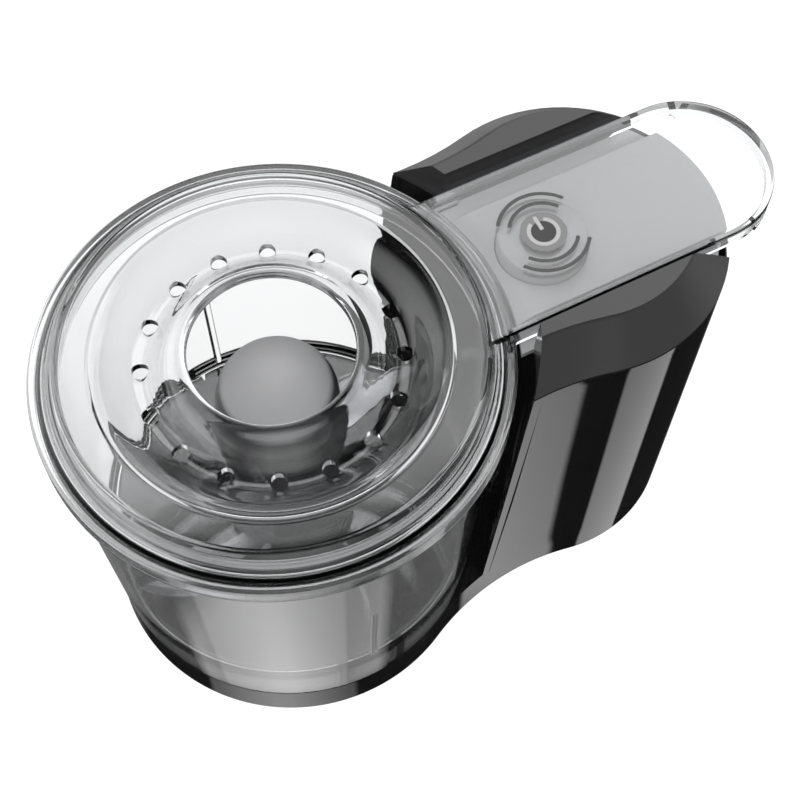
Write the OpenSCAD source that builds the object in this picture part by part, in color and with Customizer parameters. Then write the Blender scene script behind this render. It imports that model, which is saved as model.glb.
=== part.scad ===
// Electric food chopper with a one-touch press lid.
// A round platform carries the clear bowl. A tower beside it houses the motor,
// which turns the blade spindle through a toothed belt under the platform.
// X runs from the bowl to the tower, Z is up, the table is at z = 0 and the
// footprint is centred on the origin.

/* [Platform] */
// Radius of the round platform at its foot
platform_r = 57.8; // [52:0.1:72]
// Height of the shelf that the bowl's skirt stands on
shelf_h = 16.3; // [15.8:0.1:19]
// Height of the raised middle of the platform
plateau_h = 30.6; // [28:0.1:34]
// Wall of the black housing
wall = 2.4; // [1.8:0.1:3]
// Height of the rubber feet below the housing
foot_h = 1.2; // [0.8:0.1:2]

/* [Tower] */
// Distance from the platform's edge to the centre of the tower's round back
tower_off = 29.4; // [26:0.1:40]
// Radius of the tower's round back at its foot
tower_r = 45.4; // [43:0.1:50]
// Radius of the hollow curve that joins platform and tower
waist_fillet = 81; // [60:1:110]
// Height of the joint between housing and cap
tower_h = 120; // [118:0.5:150]
// How much the tower's radius shrinks up to the cap
side_draft = 1.4; // [0:0.1:2.5]
// How far the tower leans back up to the cap
tower_lean = 2.9; // [0:0.1:5]
// How much the waist narrows up to the cap
waist_draft = 2.6; // [0:0.1:4]
// Gap between the platform's edge and the hollow front that faces the bowl, at the table
nest_gap = 4.7; // [4:0.1:6]
// Growth of that radius per millimetre of height
nest_taper = 0.0545; // [0.04:0.001:0.07]

/* [Cap] */
// Height of the shoulders above the joint
shoulder_h = 12; // [9:0.5:14]
// Width of the sloping band round the shoulders
shoulder_slope = 10; // [6:0.5:12]
// Gap between the lid's arm and each side of its channel
channel_gap = 2.5; // [1:0.1:4]
// Width of the raised pad beside the button
pad_rim = 5.9; // [4:0.1:7]
// Depth of the gutters beside it
gutter_d = 1.6; // [0.8:0.1:2]

/* [Bowl] */
// How far the platform's edge stands out under the bowl's skirt
bowl_step = 0.3; // [0.2:0.1:2]
// Growth of the bowl's radius per millimetre of height
bowl_taper = 0.037; // [0.03:0.001:0.04]
// How far the bowl's rim lies below the joint between housing and cap
rim_drop = 0.3; // [0:0.1:0.8]
// Wall of the bowl
bowl_wall = 2.2; // [1.6:0.1:2.6]
// Distance from the bowl's rim down to the top of its post
post_drop = 41.7; // [38:0.1:46]
// Thickness of the wall of that post
post_wall = 2.2; // [1.6:0.1:2.6]

/* [Lid] */
// How far the lid reaches beyond the bowl's wall at the rim
lid_over = 3; // [2.8:0.1:4]
// Height of the lid's flat ring above the joint between housing and cap
lid_rise = 8.2; // [7.6:0.1:9]
// Radius of the open middle of the lid
hole_r = 22; // [18:0.1:24]
// Radius of the ring of drip holes
drip_ring_r = 34.7; // [33:0.1:36]
// Number of drip holes
drip_n = 16; // [8:1:20]
// Radius of a drip hole
drip_r = 2.3; // [1.5:0.1:2.6]
// Depth of the drip channel below the flat ring
channel_d = 7; // [4:0.1:7]
// Wall of the lid
lid_wall = 2; // [1.6:0.1:2.4]
// How far the arm reaches beyond the back of the tower
arm_over = 16.9; // [12:0.1:28]
// Half width of the arm
arm_half = 23.8; // [22:0.1:24.5]
// Thickness of the arm's plate
arm_t = 2.8; // [2.4:0.1:3.2]

/* [Blades] */
// Gap between the blade tips and the foot of the bowl's wall
blade_clear = 1.8; // [1.2:0.1:6]
// Thickness of the blades
blade_t = 1.2; // [0.8:0.1:1.6]
// Height of the lower blade above the bowl's floor
blade_low = 6.6; // [4:0.1:10]
// Distance between the two blades
blade_gap = 20; // [14:0.5:24]
// Radius of the hub and of its dome
hub_r = 17.2; // [16:0.1:19]

/* [Drive] */
// Distance from the centre of the tower's round back to the motor's shaft
motor_off = 9.8; // [9.3:0.1:10.8]
// Radius of the spindle
spindle_r = 4; // [3:0.1:4.8]
// Wall of the hexagonal driver round the spindle, at its flats
hex_wall = 1.5; // [1.2:0.1:2]
// Teeth on the large pulley
big_n = 70; // [60:1:72]
// Teeth on the small pulley
small_n = 14; // [12:1:16]
// Pitch of the belt
belt_pitch = 3; // [2.5:0.1:3.2]
// Width of the belt
belt_w = 6; // [4:0.1:6.4]

/* [Button] */
// Radius of the round switch button
button_r = 12.6; // [10.5:0.1:12.8]
// Distance from the inside of the tower's front wall to the button's centre
button_in = 9.56; // [9.56:0.01:11]
// Travel of the button
button_stroke = 1.8; // [1:0.1:1.8]

/* [Hidden] */
$fn = 96;
eps = 0.01;
// Clearances: seat between bodies, running radius, sliding radius
seat = 0.3;
run = 0.05;
slide = 0.4;

// Derived places. Everything is drawn about the bowl's axis and shifted here.
tower_x = platform_r + tower_off;
nest_r = platform_r + nest_gap;
channel_half = arm_half + channel_gap;
pad_half = button_r + pad_rim;
motor_x = tower_x + motor_off;
button_x = nest_r + nest_taper * tower_h + wall + button_in;
lid_top = tower_h + lid_rise;
arm_top = lid_top - 0.2;
arm_under = arm_top - arm_t;
panel_top = tower_h;
gutter_top = panel_top - gutter_d;
panel_under = panel_top - 3.4;
deck_t = 2;
deck_top = panel_under;
deck_z = deck_top - deck_t;
shoulder_top = tower_h + shoulder_h;
lip_gap = 0.2;
lip_t = 1.6;

// Hollow curve between platform and tower, tangent to both circles
waist_cx = (pow(tower_x, 2) + pow(platform_r + waist_fillet, 2)
    - pow(tower_r + waist_fillet, 2)) / (2 * tower_x);
waist_cy = sqrt(pow(platform_r + waist_fillet, 2) - pow(waist_cx, 2));
waist_half = waist_cy - waist_fillet;
waist_start = platform_r * waist_cx / (platform_r + waist_fillet) + 1.7;
inner_x = waist_start - 7.5;
inner_y = platform_r - 13;
side_n = 10;
back_n = 44;

// Tower circle at the height of the cap
cap_x = tower_x + tower_lean;
cap_r = tower_r - side_draft;
arm_end = cap_x + cap_r + arm_over;

// Spindle tube and bushes
hex_w = 2 * (spindle_r + hex_wall);
tube_in = spindle_r + 2.4;
tube_out = tube_in + 1.1;
tube_low = shelf_h + 1.7;
bush_h = 8;

// Bowl and the lid that grips its rim
skirt_z = shelf_h + seat;
floor_under = plateau_h + 0.6;
floor_top = floor_under + bowl_wall;
bowl_r = platform_r - bowl_step;
bowl_top = tower_h - rim_drop;
rim_z = bowl_top - 3.5;
lid_r = round(10 * (bowl_at(rim_z) + lid_over)) / 10;
bowl_x = -(arm_end - lid_r) / 2;
post_top = bowl_top - post_drop;
post_in = tube_out + 0.5;
post_out = post_in + post_wall;
lug_angles = [80.5, 99.5, -80.5, -99.5];
lug_w = 2.9;
lug_d = 2.4;

// Spindle levels
tube_top = post_top - 3;
coupler_z = post_top + 2;
coupler_h = 17;
slinger_r = tube_out - 0.5;
shaft_low = 5;

// Belt drive
belt_t = 1.5;
belt_z = 7.5;
big_tip = big_n * belt_pitch / (2 * PI) - 0.38;
small_tip = small_n * belt_pitch / (2 * PI) - 0.38;
tooth_d = 1.2;
flange_t = 0.8;

// Motor levels
plate_z = 17.6;
plate_t = 2.4;
stack_z = 46;
stack_h = 24;
stator_x = 27;
stator_y = 33.2;
yoke = 6;
bore_r = 17.4;
core_r = bore_r - 0.5;
neck = 9;
coil_over = 8.5;
motor_r = 3;
motor_top = 103;
comm_z = 80.5;
comm_r = 9;
bridge_z = 95;
bridge_t = 4;
leg_y = 30;

// Switch levels. The button's flange is cut off straight behind the tower's front wall.
button_top = arm_under - seat;
flange_z = panel_top - 4;
button_flange = 1.4;
guide_r = button_r + 1.8;
front_wall = -button_in;
carrier_z = deck_z - 8.6;
carrier_floor = 3;
carrier_y = guide_r + 5.2;
spring_r = button_r - 3.7;
spring_wire = 0.45;
switch_z = carrier_z - 11;
switch_top = carrier_z - 0.8;
pivot_y = 6;
pivot_z = carrier_z + 1.9;
plunger_y = 2;
plunger_r = 0.8;
lever_t = 0.4;
panel_gap = 1.6;
panel_slope = [4.7, 1.4];

// Circuit board under the deck
board_z = deck_z - 8.6;
board_t = 1.6;
board_x = tower_x + 23.3;
board_size = [18, 28];

// Screw places
boss_r = 4.3;
cover_head = 2.6;
cover_in = wall + seat + 0.5 + cover_head + 0.5;
cover_spots = concat(
    [for (a = [180, 112, -112]) (platform_r - 0.3 - cover_in) * [cos(a), sin(a)]],
    [for (s = [1, -1]) [waist_cx, s * (waist_half - cover_in)]],
    [for (a = [33, -33]) [tower_x, 0] + (tower_r - cover_in) * [cos(a), sin(a)]]);
motor_boss_r = 4.5;
motor_boss_top = 37;
motor_spots = [for (a = [104, 49, -49, -104])
    [tower_x, 0] + (tower_r - wall - motor_boss_r + 1) * [cos(a), sin(a)]];
cap_front_r = nest_r + nest_taper * (tower_h - 10) + wall + boss_r - 1.2;
cap_front_y = channel_half - 6.5;
cap_spots = concat([for (s = [1, -1]) [sqrt(pow(cap_front_r, 2) - pow(cap_front_y, 2)),
    s * cap_front_y]], [[cap_x + cap_r - wall - boss_r + 1, 0]]);
carrier_spots = [for (s = [1, -1]) [button_x, s * carrier_y]];
board_spots = [for (i = [-1, 1], s = [1, -1]) [board_x + i * (board_size[0] / 2 - 3),
    s * (board_size[1] / 2 - 3)]];
foot_r = 6.2;
foot_in = 9.6;
foot_spots = [for (s = [1, -1]) each [
    (platform_r - foot_in) * [cos(138.4), s * sin(138.4)],
    [tower_x, 0] + (tower_r - foot_in - 1.3) * [cos(60.5), s * sin(60.5)]]];

// Cord inlet at the back of the tower
inlet_r = 4;
inlet_z = 9.6;

module at_bowl() { translate([bowl_x, 0, 0]) children(); }

// Outline of the tower at height z, moved inwards by t
function outline(z, t = 0) = let(
    k = min(1, max(0, z / tower_h)),
    rb = tower_r - side_draft * k,
    xb = tower_x + tower_lean * k,
    yc = waist_half - waist_draft * k + waist_fillet,
    xc = xb - sqrt(pow(rb + waist_fillet, 2) - pow(yc, 2)),
    rf = waist_fillet + t,
    a0 = -acos((waist_start - xc) / rf),
    a1 = atan2(-yc, xb - xc),
    b = atan2(yc, xc - xb),
    side = [for (i = [0 : side_n]) let(a = a0 + (a1 - a0) * i / side_n)
        [xc + rf * cos(a), yc + rf * sin(a)]],
    back = [for (i = [1 : back_n - 1]) let(a = b - 2 * b * i / back_n)
        [xb + (rb - t) * cos(a), (rb - t) * sin(a)]])
    concat([[inner_x, inner_y - t]], side, back,
        [for (i = [side_n : -1 : 0]) [side[i][0], -side[i][1]]], [[inner_x, t - inner_y]]);

// Solid through outlines that lie one above another; each level is [z, outline].
// Both ends are closed by strips between mirrored points of the outline.
module loft(levels) {
    n = len(levels[0][1]);
    m = len(levels);
    h = (n - 1) / 2;
    top = (m - 1) * n;
    points = [for (l = levels) for (p = l[1]) [p[0], p[1], l[0]]];
    sides = [for (k = [0 : m - 2]) for (i = [0 : n - 1]) let(j = (i + 1) % n)
        each [[k * n + j, (k + 1) * n + j, (k + 1) * n + i],
            [k * n + j, (k + 1) * n + i, k * n + i]]];
    ends = [for (i = [0 : h - 2]) let(j = n - 1 - i)
        each [[j, j - 1, i + 1, i], [top + i, top + i + 1, top + j - 1, top + j]]];
    tips = [[h + 1, h, h - 1], [top + h - 1, top + h, top + h + 1]];
    polyhedron(points, concat(sides, ends, tips));
}

// Cone that leaves room for the bowl in front of the tower
module nest(more, z0, z1) {
    translate([0, 0, z0])
        cylinder(h = z1 - z0, r1 = nest_r + nest_taper * z0 + more,
            r2 = nest_r + nest_taper * z1 + more);
}

// Plan of the tower's inside at the cap, t inside the housing's wall
module tower_plan(t) {
    difference() {
        polygon(outline(tower_h, wall + t));
        circle(nest_r + nest_taper * tower_h + wall + t);
    }
}

module ring(ro, ri, h) {
    difference() {
        cylinder(h = h, r = ro);
        translate([0, 0, -1]) cylinder(h = h + 2, r = ri);
    }
}

module block(x0, x1, y0, y1, z0, z1) {
    translate([x0, y0, z0]) cube([x1 - x0, y1 - y0, z1 - z0]);
}

module posts(spots, z0, z1, r) {
    for (p = spots) translate([p[0], p[1], z0]) cylinder(h = z1 - z0, r = r);
}

// Pan-head screw standing at z = 0 with its head below
module screw(r, len, head_r, head_h) {
    rotate_extrude() polygon([[0, -head_h], [head_r * 0.8, -head_h], [head_r, -head_h * 0.5],
        [head_r, 0], [r, 0], [r, len - r], [r * 0.4, len], [0, len]]);
}

// Base housing: platform, tower walls, spindle tube, bosses and ribs

module platform_skin() {
    difference() {
        rotate_extrude() polygon([[0, foot_h], [platform_r - 0.6, foot_h],
            [platform_r, foot_h + 1], [platform_r - 0.3, shelf_h - 0.6],
            [platform_r - 0.7, shelf_h], [plateau_r, shelf_h], [plateau_r, plateau_h - 1],
            [plateau_r - 1, plateau_h], [0, plateau_h]]);
        for (a = lug_angles) rotate(a)
            block(plateau_r - lug_d - 0.2, plateau_r + 1, -lug_w / 2 - slide,
                lug_w / 2 + slide, shelf_h, plateau_h + 1);
    }
}
plateau_r = bowl_r - bowl_wall - 0.7;

module tower_skin() {
    difference() {
        loft([[foot_h, outline(foot_h, 0.6)], [foot_h + 1, outline(foot_h + 1)],
            [tower_h - 0.4, outline(tower_h)], [tower_h, outline(tower_h, 0.35)]]);
        nest(0, shelf_h, tower_h + 1);
    }
}

module housing_cavity() {
    roof = shelf_h - wall;
    translate([0, 0, foot_h - 1]) cylinder(h = roof - foot_h + 1, r = platform_r - wall - 0.3);
    translate([0, 0, foot_h - 1])
        cylinder(h = plateau_h - wall - foot_h + 1, r = plateau_r - lug_d - 0.2 - wall);
    difference() {
        loft([[foot_h - 1, outline(foot_h, wall)], [tower_h + 1, outline(tower_h, wall)]]);
        nest(wall, roof, tower_h + 2);
    }
}

module housing_bosses() {
    inside = shelf_h - wall + 0.5;
    posts(cover_spots, foot_h + 2.2, inside, boss_r);
    posts(motor_spots, plate_z + plate_t, motor_boss_top, motor_boss_r);
    posts(cap_spots, deck_z - 18, deck_z, boss_r);
    translate([0, 0, tube_low]) cylinder(h = plateau_h - tube_low, r = tube_out + 1.6);
    translate([0, 0, plateau_h - 1]) cylinder(h = tube_top - plateau_h + 1, r = tube_out);
    for (a = [0 : 60 : 300]) rotate(a + 30)
        block(tube_out, plateau_r - lug_d - wall, -0.9, 0.9, tube_low, plateau_h - 1);
    translate([tower_x + tower_r - 9, 0, inlet_z]) rotate([0, 90, 0]) cylinder(h = 8, r = 6);
}

module base_housing() {
    color("#151517") at_bowl() difference() {
        union() {
            difference() {
                union() {
                    platform_skin();
                    tower_skin();
                }
                housing_cavity();
            }
            housing_bosses();
        }
        translate([0, 0, tube_low - 1]) cylinder(h = tube_top - tube_low + 2, r = tube_in);
        posts(cover_spots, foot_h, shelf_h - wall - 1, 1.3);
        posts(motor_spots, plate_z, plate_z + plate_t + 11, 1.5);
        posts(cap_spots, deck_z - 11, deck_z + 1, 1.3);
        translate([tower_x + tower_r - 12, 0, inlet_z]) rotate([0, 90, 0])
            cylinder(h = 16, r = inlet_r);
        // The panel lies over the rim at both ends of the channel
        block(nest_r, tower_x, -channel_half - 0.1, channel_half + 0.1, panel_under, tower_h + 1);
        block(tower_x, tower_x + 60, -pad_half - 0.3, pad_half + 0.3, panel_top - 2, tower_h + 1);
    }
}

// Base cover: plate inside the housing's foot, with vents, screw and foot recesses

module cover_plan() {
    circle(platform_r - wall - 0.3 - seat);
    polygon(outline(foot_h, wall + seat));
}

module base_cover() {
    color("#1c1c1e") at_bowl() difference() {
        union() {
            translate([0, 0, foot_h]) linear_extrude(2.2) cover_plan();
            // Rib that stiffens the plate between platform and tower
            for (s = [-1, 1]) block(-30, tower_x + 26, s * 16 - 0.8, s * 16 + 0.8, foot_h + 2, 5);
            translate([0, 0, foot_h + 2]) ring(18, 16.4, 1.6);
        }
        for (p = cover_spots) translate([p[0], p[1], 0]) {
            cylinder(h = 6, r = 1.7);
            cylinder(h = foot_h + 1.2, r = cover_head + 0.5);
        }
        for (p = foot_spots) translate([p[0], p[1], 0]) cylinder(h = foot_h + 1, r = foot_r);
        for (i = [-3 : 3]) block(motor_x + i * 5.2 - 1.1, motor_x + i * 5.2 + 1.1, -13, 13, 0, 6);
    }
}

module cover_screws() {
    color("#8a8d90") at_bowl() for (p = cover_spots)
        translate([p[0], p[1], foot_h + 1.2]) screw(1.3, 9, cover_head, 1);
}

module rubber_feet() {
    color("#0e0e0e") at_bowl() for (p = foot_spots) translate([p[0], p[1], 0])
        rotate_extrude() polygon([[0, 0], [foot_r - 1, 0], [foot_r - 0.3, 0.5],
            [foot_r, foot_h], [foot_r, foot_h + 1], [0, foot_h + 1]]);
}

// Top cap: sloping shoulders beside the channel, deck and lip inside the tower

module cap_skin() {
    difference() {
        loft([[tower_h, outline(tower_h, 0.35)], [tower_h + 0.5, outline(tower_h)],
            [shoulder_top - 0.6, outline(tower_h, shoulder_slope - 0.6)],
            [shoulder_top, outline(tower_h, shoulder_slope + 0.4)]]);
        nest(0, shelf_h, shoulder_top + 1);
        difference() {
            loft([[tower_h - 1, outline(tower_h, wall + 0.8)],
                [shoulder_top - wall, outline(tower_h, shoulder_slope + wall - 0.2)]]);
            nest(wall + 0.8, shelf_h, shoulder_top + 1);
            block(0, tower_x + 60, -channel_half - wall, channel_half + wall, tower_h - 2,
                shoulder_top);
        }
    }
}

module top_cap() {
    color("#3b3b3d") at_bowl() difference() {
        union() {
            cap_skin();
            translate([0, 0, deck_z]) linear_extrude(deck_t) tower_plan(lip_gap);
            translate([0, 0, deck_z]) linear_extrude(tower_h + 2 - deck_z) difference() {
                tower_plan(lip_gap);
                tower_plan(lip_gap + lip_t);
            }
            intersection() {
                translate([0, 0, deck_z]) linear_extrude(tower_h + 1 - deck_z)
                    tower_plan(lip_gap);
                for (s = [-1, 1]) translate([0, s * (channel_half + wall / 2), 0])
                    block(nest_r, tower_x + 60, -wall / 2, wall / 2, deck_z, shoulder_top);
            }
            posts(board_spots, board_z + board_t, deck_z + 0.5, 2.2);
            for (s = [-1, 1], x = [tower_x - 14, tower_x + 10])
                block(x - 0.8, x + 0.8, s * (channel_half + 1) - 1, s * (channel_half + 9) + 1,
                    deck_top - 1, tower_h + 2);
        }
        block(0, tower_x + 60, -channel_half, channel_half, panel_under, shoulder_top + 1);
        translate([button_x, 0, deck_z - 1]) cylinder(h = 10, r = guide_r);
        posts(cap_spots, deck_z - 1, deck_top + 1, 1.7);
        posts(carrier_spots, deck_z - 1, deck_top - 0.4, 1.05);
        posts(board_spots, board_z - 1, deck_z - 2, 0.9);
    }
}

module cap_screws() {
    color("#8a8d90") at_bowl() for (p = cap_spots)
        translate([p[0], p[1], deck_top]) mirror([0, 0, 1]) screw(1.3, 10, 2.4, 1.2);
}

// Switch panel: raised pad and gutters under the lid's arm

module panel_end(r) {
    intersection() {
        translate([cap_x, 0, 0]) cylinder(h = 200, r = r);
        block(cap_x, cap_x + 60, -40, 40, 0, 200);
    }
    block(0, cap_x + eps, -40, 40, 0, 200);
}

module switch_panel() {
    front = lid_r + panel_gap;
    color("#8b8b8d") at_bowl() difference() {
        union() {
            intersection() {
                panel_end(cap_r - wall - seat);
                block(0, tower_x + 60, -channel_half + 0.2, channel_half - 0.2, panel_under,
                    gutter_top);
            }
            intersection() {
                panel_end(cap_r - 0.5);
                block(0, tower_x + 60, -pad_half, pad_half, panel_top - 2, panel_top);
            }
            intersection() {
                panel_end(cap_r - wall - seat);
                block(0, tower_x + 60, -pad_half, pad_half, panel_under, panel_top - 1);
            }
        }
        translate([0, 0, panel_under - 1]) cylinder(h = 10, r = front);
        translate([0, 0, panel_top - panel_slope[1]])
            cylinder(h = panel_slope[1] + eps, r1 = front, r2 = front + panel_slope[0]);
        translate([button_x, 0, 0]) cylinder(h = 200, r = button_r + seat);
        difference() {
            translate([button_x, 0, panel_under - 1])
                cylinder(h = 1 + flange_z + button_flange + seat - panel_under, r = guide_r);
            block(0, button_x + front_wall, -40, 40, 0, 200);
        }
        difference() {
            intersection() {
                panel_end(cap_r - wall - seat - 2);
                block(button_x + guide_r + 1.6, tower_x + 60, -pad_half + 2, pad_half - 2, panel_under - 1,
                    panel_top - 2);
            }
            for (s = [-1, 1]) block(button_x, tower_x + 40, s * 9 - 0.8, s * 9 + 0.8, 0, 200);
        }
        for (p = cap_spots) translate([p[0], p[1], panel_under - 1]) cylinder(h = 2.4, r = 2.8);
    }
}

// Switch: button, return spring, carrier, snap switch with its lever and plunger

module switch_button() {
    stem = pivot_z + lever_t / 2 + seat;
    color("#8b8b8d") at_bowl() translate([button_x, 0, 0]) difference() {
        union() {
            rotate_extrude() polygon([[0, flange_z + button_flange], [button_r, flange_z + 1],
                [button_r, button_top - 1.1], [button_r - 0.35, button_top - 0.35],
                [button_r - 1.1, button_top], [0, button_top]]);
            translate([0, 0, flange_z]) cylinder(h = button_flange, r = guide_r - 0.6);
            rotate_extrude() polygon([[0, stem], [0.5, stem], [1.2, stem + 0.5],
                [2.5, stem + 2.4], [2.5, button_top - 1], [0, button_top - 1]]);
        }
        difference() {
            translate([0, 0, flange_z - 1])
                cylinder(h = button_top - flange_z - 0.8, r = button_r - 1.9);
            cylinder(h = 200, r = 2.5);
            for (a = [0, 60, 120]) rotate(a) block(-button_r, button_r, -0.7, 0.7,
                flange_z, button_top);
        }
        block(-20, front_wall + slide, -20, 20, carrier_z - 6,
            panel_under + button_stroke + 0.5);
    }
}

function coil(r, wire, z0, z1, turns, per, sides) = [for (i = [0 : turns * per])
    let(a = 360 * i / per, z = z0 + (z1 - z0) * i / (turns * per))
    for (j = [0 : sides - 1]) let(b = 360 * j / sides)
        [(r + wire * cos(b)) * cos(a), (r + wire * cos(b)) * sin(a), z + wire * sin(b)]];

module button_spring() {
    turns = 5;
    per = 14;
    sides = 6;
    wire = spring_wire;
    n = turns * per;
    color("#a9acb0") at_bowl() translate([button_x, 0, 0]) polyhedron(
        coil(spring_r, wire, carrier_z + carrier_floor + wire + 0.05, flange_z - wire - 0.05,
            turns, per, sides),
        concat([[for (j = [0 : sides - 1]) j]],
            [for (i = [0 : n - 1]) for (j = [0 : sides - 1]) let(k = (j + 1) % sides)
                each [[i * sides + j, (i + 1) * sides + j, (i + 1) * sides + k],
                    [i * sides + j, (i + 1) * sides + k, i * sides + k]]],
            [[for (j = [sides - 1 : -1 : 0]) n * sides + j]]));
}

module switch_carrier() {
    color("#222224") at_bowl() translate([button_x, 0, 0]) difference() {
        union() {
            translate([0, 0, carrier_z]) ring(guide_r + 1.6, guide_r, deck_z - carrier_z);
            translate([0, 0, carrier_z]) cylinder(h = carrier_floor, r = guide_r + 0.5);
            for (s = [-1, 1]) {
                translate([0, s * carrier_y, deck_z - 2]) cylinder(h = 2, r = 3.4);
                block(-2.5, 2.5, s * (carrier_y - 2.3) - 2.3, s * (carrier_y - 2.3) + 2.3,
                    deck_z - 2, deck_z);
                // Cheeks that hold the snap switch between two pins
                block(s * 4.2 - 0.8, s * 4.2 + 0.8, -7, 7, switch_z + 3, carrier_z + 1);
                for (y = [-5, 5]) translate([s * 4, y, switch_z + 5]) rotate([0, 90, 0])
                    translate([0, 0, -0.9]) cylinder(h = 1.8, r = 1.2);
            }
        }
        translate([0, 0, carrier_z - 1]) cylinder(h = carrier_floor + 2, r = 5.4);
        block(-3.4, 3.4, -10.4, 10.4, carrier_z - 12, carrier_z + carrier_floor + 1);
        block(-20, front_wall + seat, -20, 20, carrier_z - 1, deck_z + 1);
        for (s = [-1, 1]) translate([0, s * carrier_y, deck_z - 3]) cylinder(h = 4, r = 1.3);
    }
}

module carrier_screws() {
    color("#8a8d90") at_bowl() for (p = carrier_spots)
        translate([p[0], p[1], deck_z - 2]) screw(1.05, 3.2, 2, 1);
}

module switch_body() {
    color("#1b1b1c") at_bowl() translate([button_x, 0, 0]) difference() {
        union() {
            block(-3.2, 3.2, -10, 10, switch_z, switch_top);
            for (s = [-1, 1]) block(s * 2.95 - 0.25, s * 2.95 + 0.25, pivot_y - 0.9, pivot_y + 0.9,
                switch_top - 1, pivot_z + 0.9);
        }
        translate([0, plunger_y, switch_z + 4]) cylinder(h = 20, r = plunger_r + run);
        for (y = [-5, 5]) translate([-5, y, switch_z + 5]) rotate([0, 90, 0])
            cylinder(h = 10, r = 1.3);
    }
}

module switch_terminals() {
    color("#b08d3c") at_bowl() translate([button_x, 0, 0]) for (s = [-1, 1]) difference() {
        block(-1.6, 1.6, s * 8.2 - 0.3, s * 8.2 + 0.3, switch_z - 5, switch_z);
        translate([0, s * 8.2 - 1, switch_z - 3]) rotate([-90, 0, 0]) cylinder(h = 2, r = 0.7);
    }
}

module switch_plunger() {
    color("#c9c4b8") at_bowl() translate([button_x, plunger_y, switch_z + 7])
        cylinder(h = pivot_z - lever_t / 2 - seat - switch_z - 7, r = plunger_r);
}

module switch_lever() {
    color("#b9bcc0") at_bowl() translate([button_x, 0, 0]) {
        block(-2, 2, -1.6, pivot_y, pivot_z - lever_t / 2, pivot_z + lever_t / 2);
        translate([-2.6, pivot_y, pivot_z]) rotate([0, 90, 0]) cylinder(h = 5.2, r = 0.6);
    }
}

// Circuit board above the motor, hung from the deck

module circuit_board() {
    color("#2f5a3a") at_bowl() difference() {
        block(board_x - board_size[0] / 2, board_x + board_size[0] / 2, -board_size[1] / 2,
            board_size[1] / 2, board_z, board_z + board_t);
        posts(board_spots, board_z - 1, board_z + board_t + 1, 1.1);
    }
}

module board_parts() {
    at_bowl() {
        color("#b5622b") block(board_x - 2.5, board_x + 3.5, -7, 7, board_z + board_t,
            board_z + board_t + 6.4);
        color("#30302f") for (s = [-1, 1]) translate([board_x - 7, s * 4, board_z + board_t])
            cylinder(h = 6, r = 1.9);
    }
}

module board_screws() {
    color("#8a8d90") at_bowl() for (p = board_spots)
        translate([p[0], p[1], board_z]) screw(0.9, 5, 1.8, 0.9);
}

// Motor: upright universal motor between a moulded plate and a bridge

module at_motor() { at_bowl() translate([motor_x, 0, 0]) children(); }

module motor_plate() {
    color("#2a2a2c") difference() {
        union() {
            at_bowl() translate([0, 0, plate_z]) linear_extrude(plate_t) intersection() {
                polygon(outline(plate_z, wall + 0.8));
                union() {
                    translate([motor_x - stator_x, -stator_y])
                        square([2 * stator_x, 2 * stator_y]);
                    for (p = motor_spots) translate(p) circle(motor_boss_r);
                    for (s = [-1, 1]) translate([motor_spots[0][0] - 3, s * stator_y - 2])
                        square([motor_x - motor_spots[0][0], 4]);
                }
            }
            at_motor() {
                translate([0, 0, plate_z]) cylinder(h = 9.4, r = 9);
                for (a = [45 : 90 : 315]) rotate(a)
                    block(8, 24, -1, 1, plate_z, plate_z + 7);
                // Posts and side pillars carry the stack
                for (s = [-1, 1]) {
                    translate([0, s * leg_y, plate_z])
                        cylinder(h = stack_z - plate_z, r = 3.1);
                    block(s * 24.3 - 2.1, s * 24.3 + 2.1, -8, 8, plate_z, stack_z);
                }
            }
        }
        at_motor() translate([0, 0, plate_z - 1]) cylinder(h = 12, r = 6);
        at_bowl() posts(motor_spots, plate_z - 1, plate_z + plate_t + 1, 1.9);
        at_motor() for (s = [-1, 1]) translate([0, s * leg_y, 0]) cylinder(h = 60, r = 1.8);
        // Air holes between the vents and the fan
        at_motor() for (a = [0 : 90 : 270]) rotate(a) translate([15.6, 0, plate_z - 1])
            cylinder(h = plate_t + 2, r = 4.6);
    }
}

module motor_plate_screws() {
    color("#8a8d90") at_bowl() for (p = motor_spots)
        translate([p[0], p[1], plate_z]) screw(1.5, 12, 3, 1.4);
}

module stack_plan() {
    difference() {
        intersection() {
            square([2 * stator_x, 2 * stator_y], center = true);
            circle(stator_y);
        }
        difference() {
            intersection() {
                square([2 * (stator_x - yoke), 2 * (stator_y - yoke)], center = true);
                circle(stator_y - 4.3);
            }
            difference() {
                circle(bore_r + 4);
                circle(bore_r);
                square([2 * bore_r + 20, 2 * neck + 3], center = true);
            }
            for (s = [-1, 1]) translate([-neck, s > 0 ? bore_r + 2 : -stator_y + 1])
                square([2 * neck, stator_y - bore_r - 3]);
        }
        for (s = [-1, 1]) translate([0, s * leg_y]) circle(1.8);
    }
}

module motor_stator() {
    color("#77797c") at_motor() translate([0, 0, stack_z]) linear_extrude(stack_h) stack_plan();
}

module field_coils() {
    y0 = bore_r + 4.3;
    y1 = stator_y - yoke - 0.3;
    color("#b4662f") at_motor() for (s = [0, 1]) mirror([0, s, 0]) difference() {
        intersection() {
            block(-stator_x + yoke + 0.5, stator_x - yoke - 0.5, y0, y1, stack_z - coil_over,
                stack_z + stack_h + coil_over);
            translate([0, 0, stack_z + stack_h / 2]) rotate([-90, 0, 0])
                cylinder(h = 60, r = 26);
            cylinder(h = 100, r = stator_y - 4.6);
        }
        block(-neck - 0.3, neck + 0.3, 0, 60, stack_z - 0.3, stack_z + stack_h + 0.3);
    }
}

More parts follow.
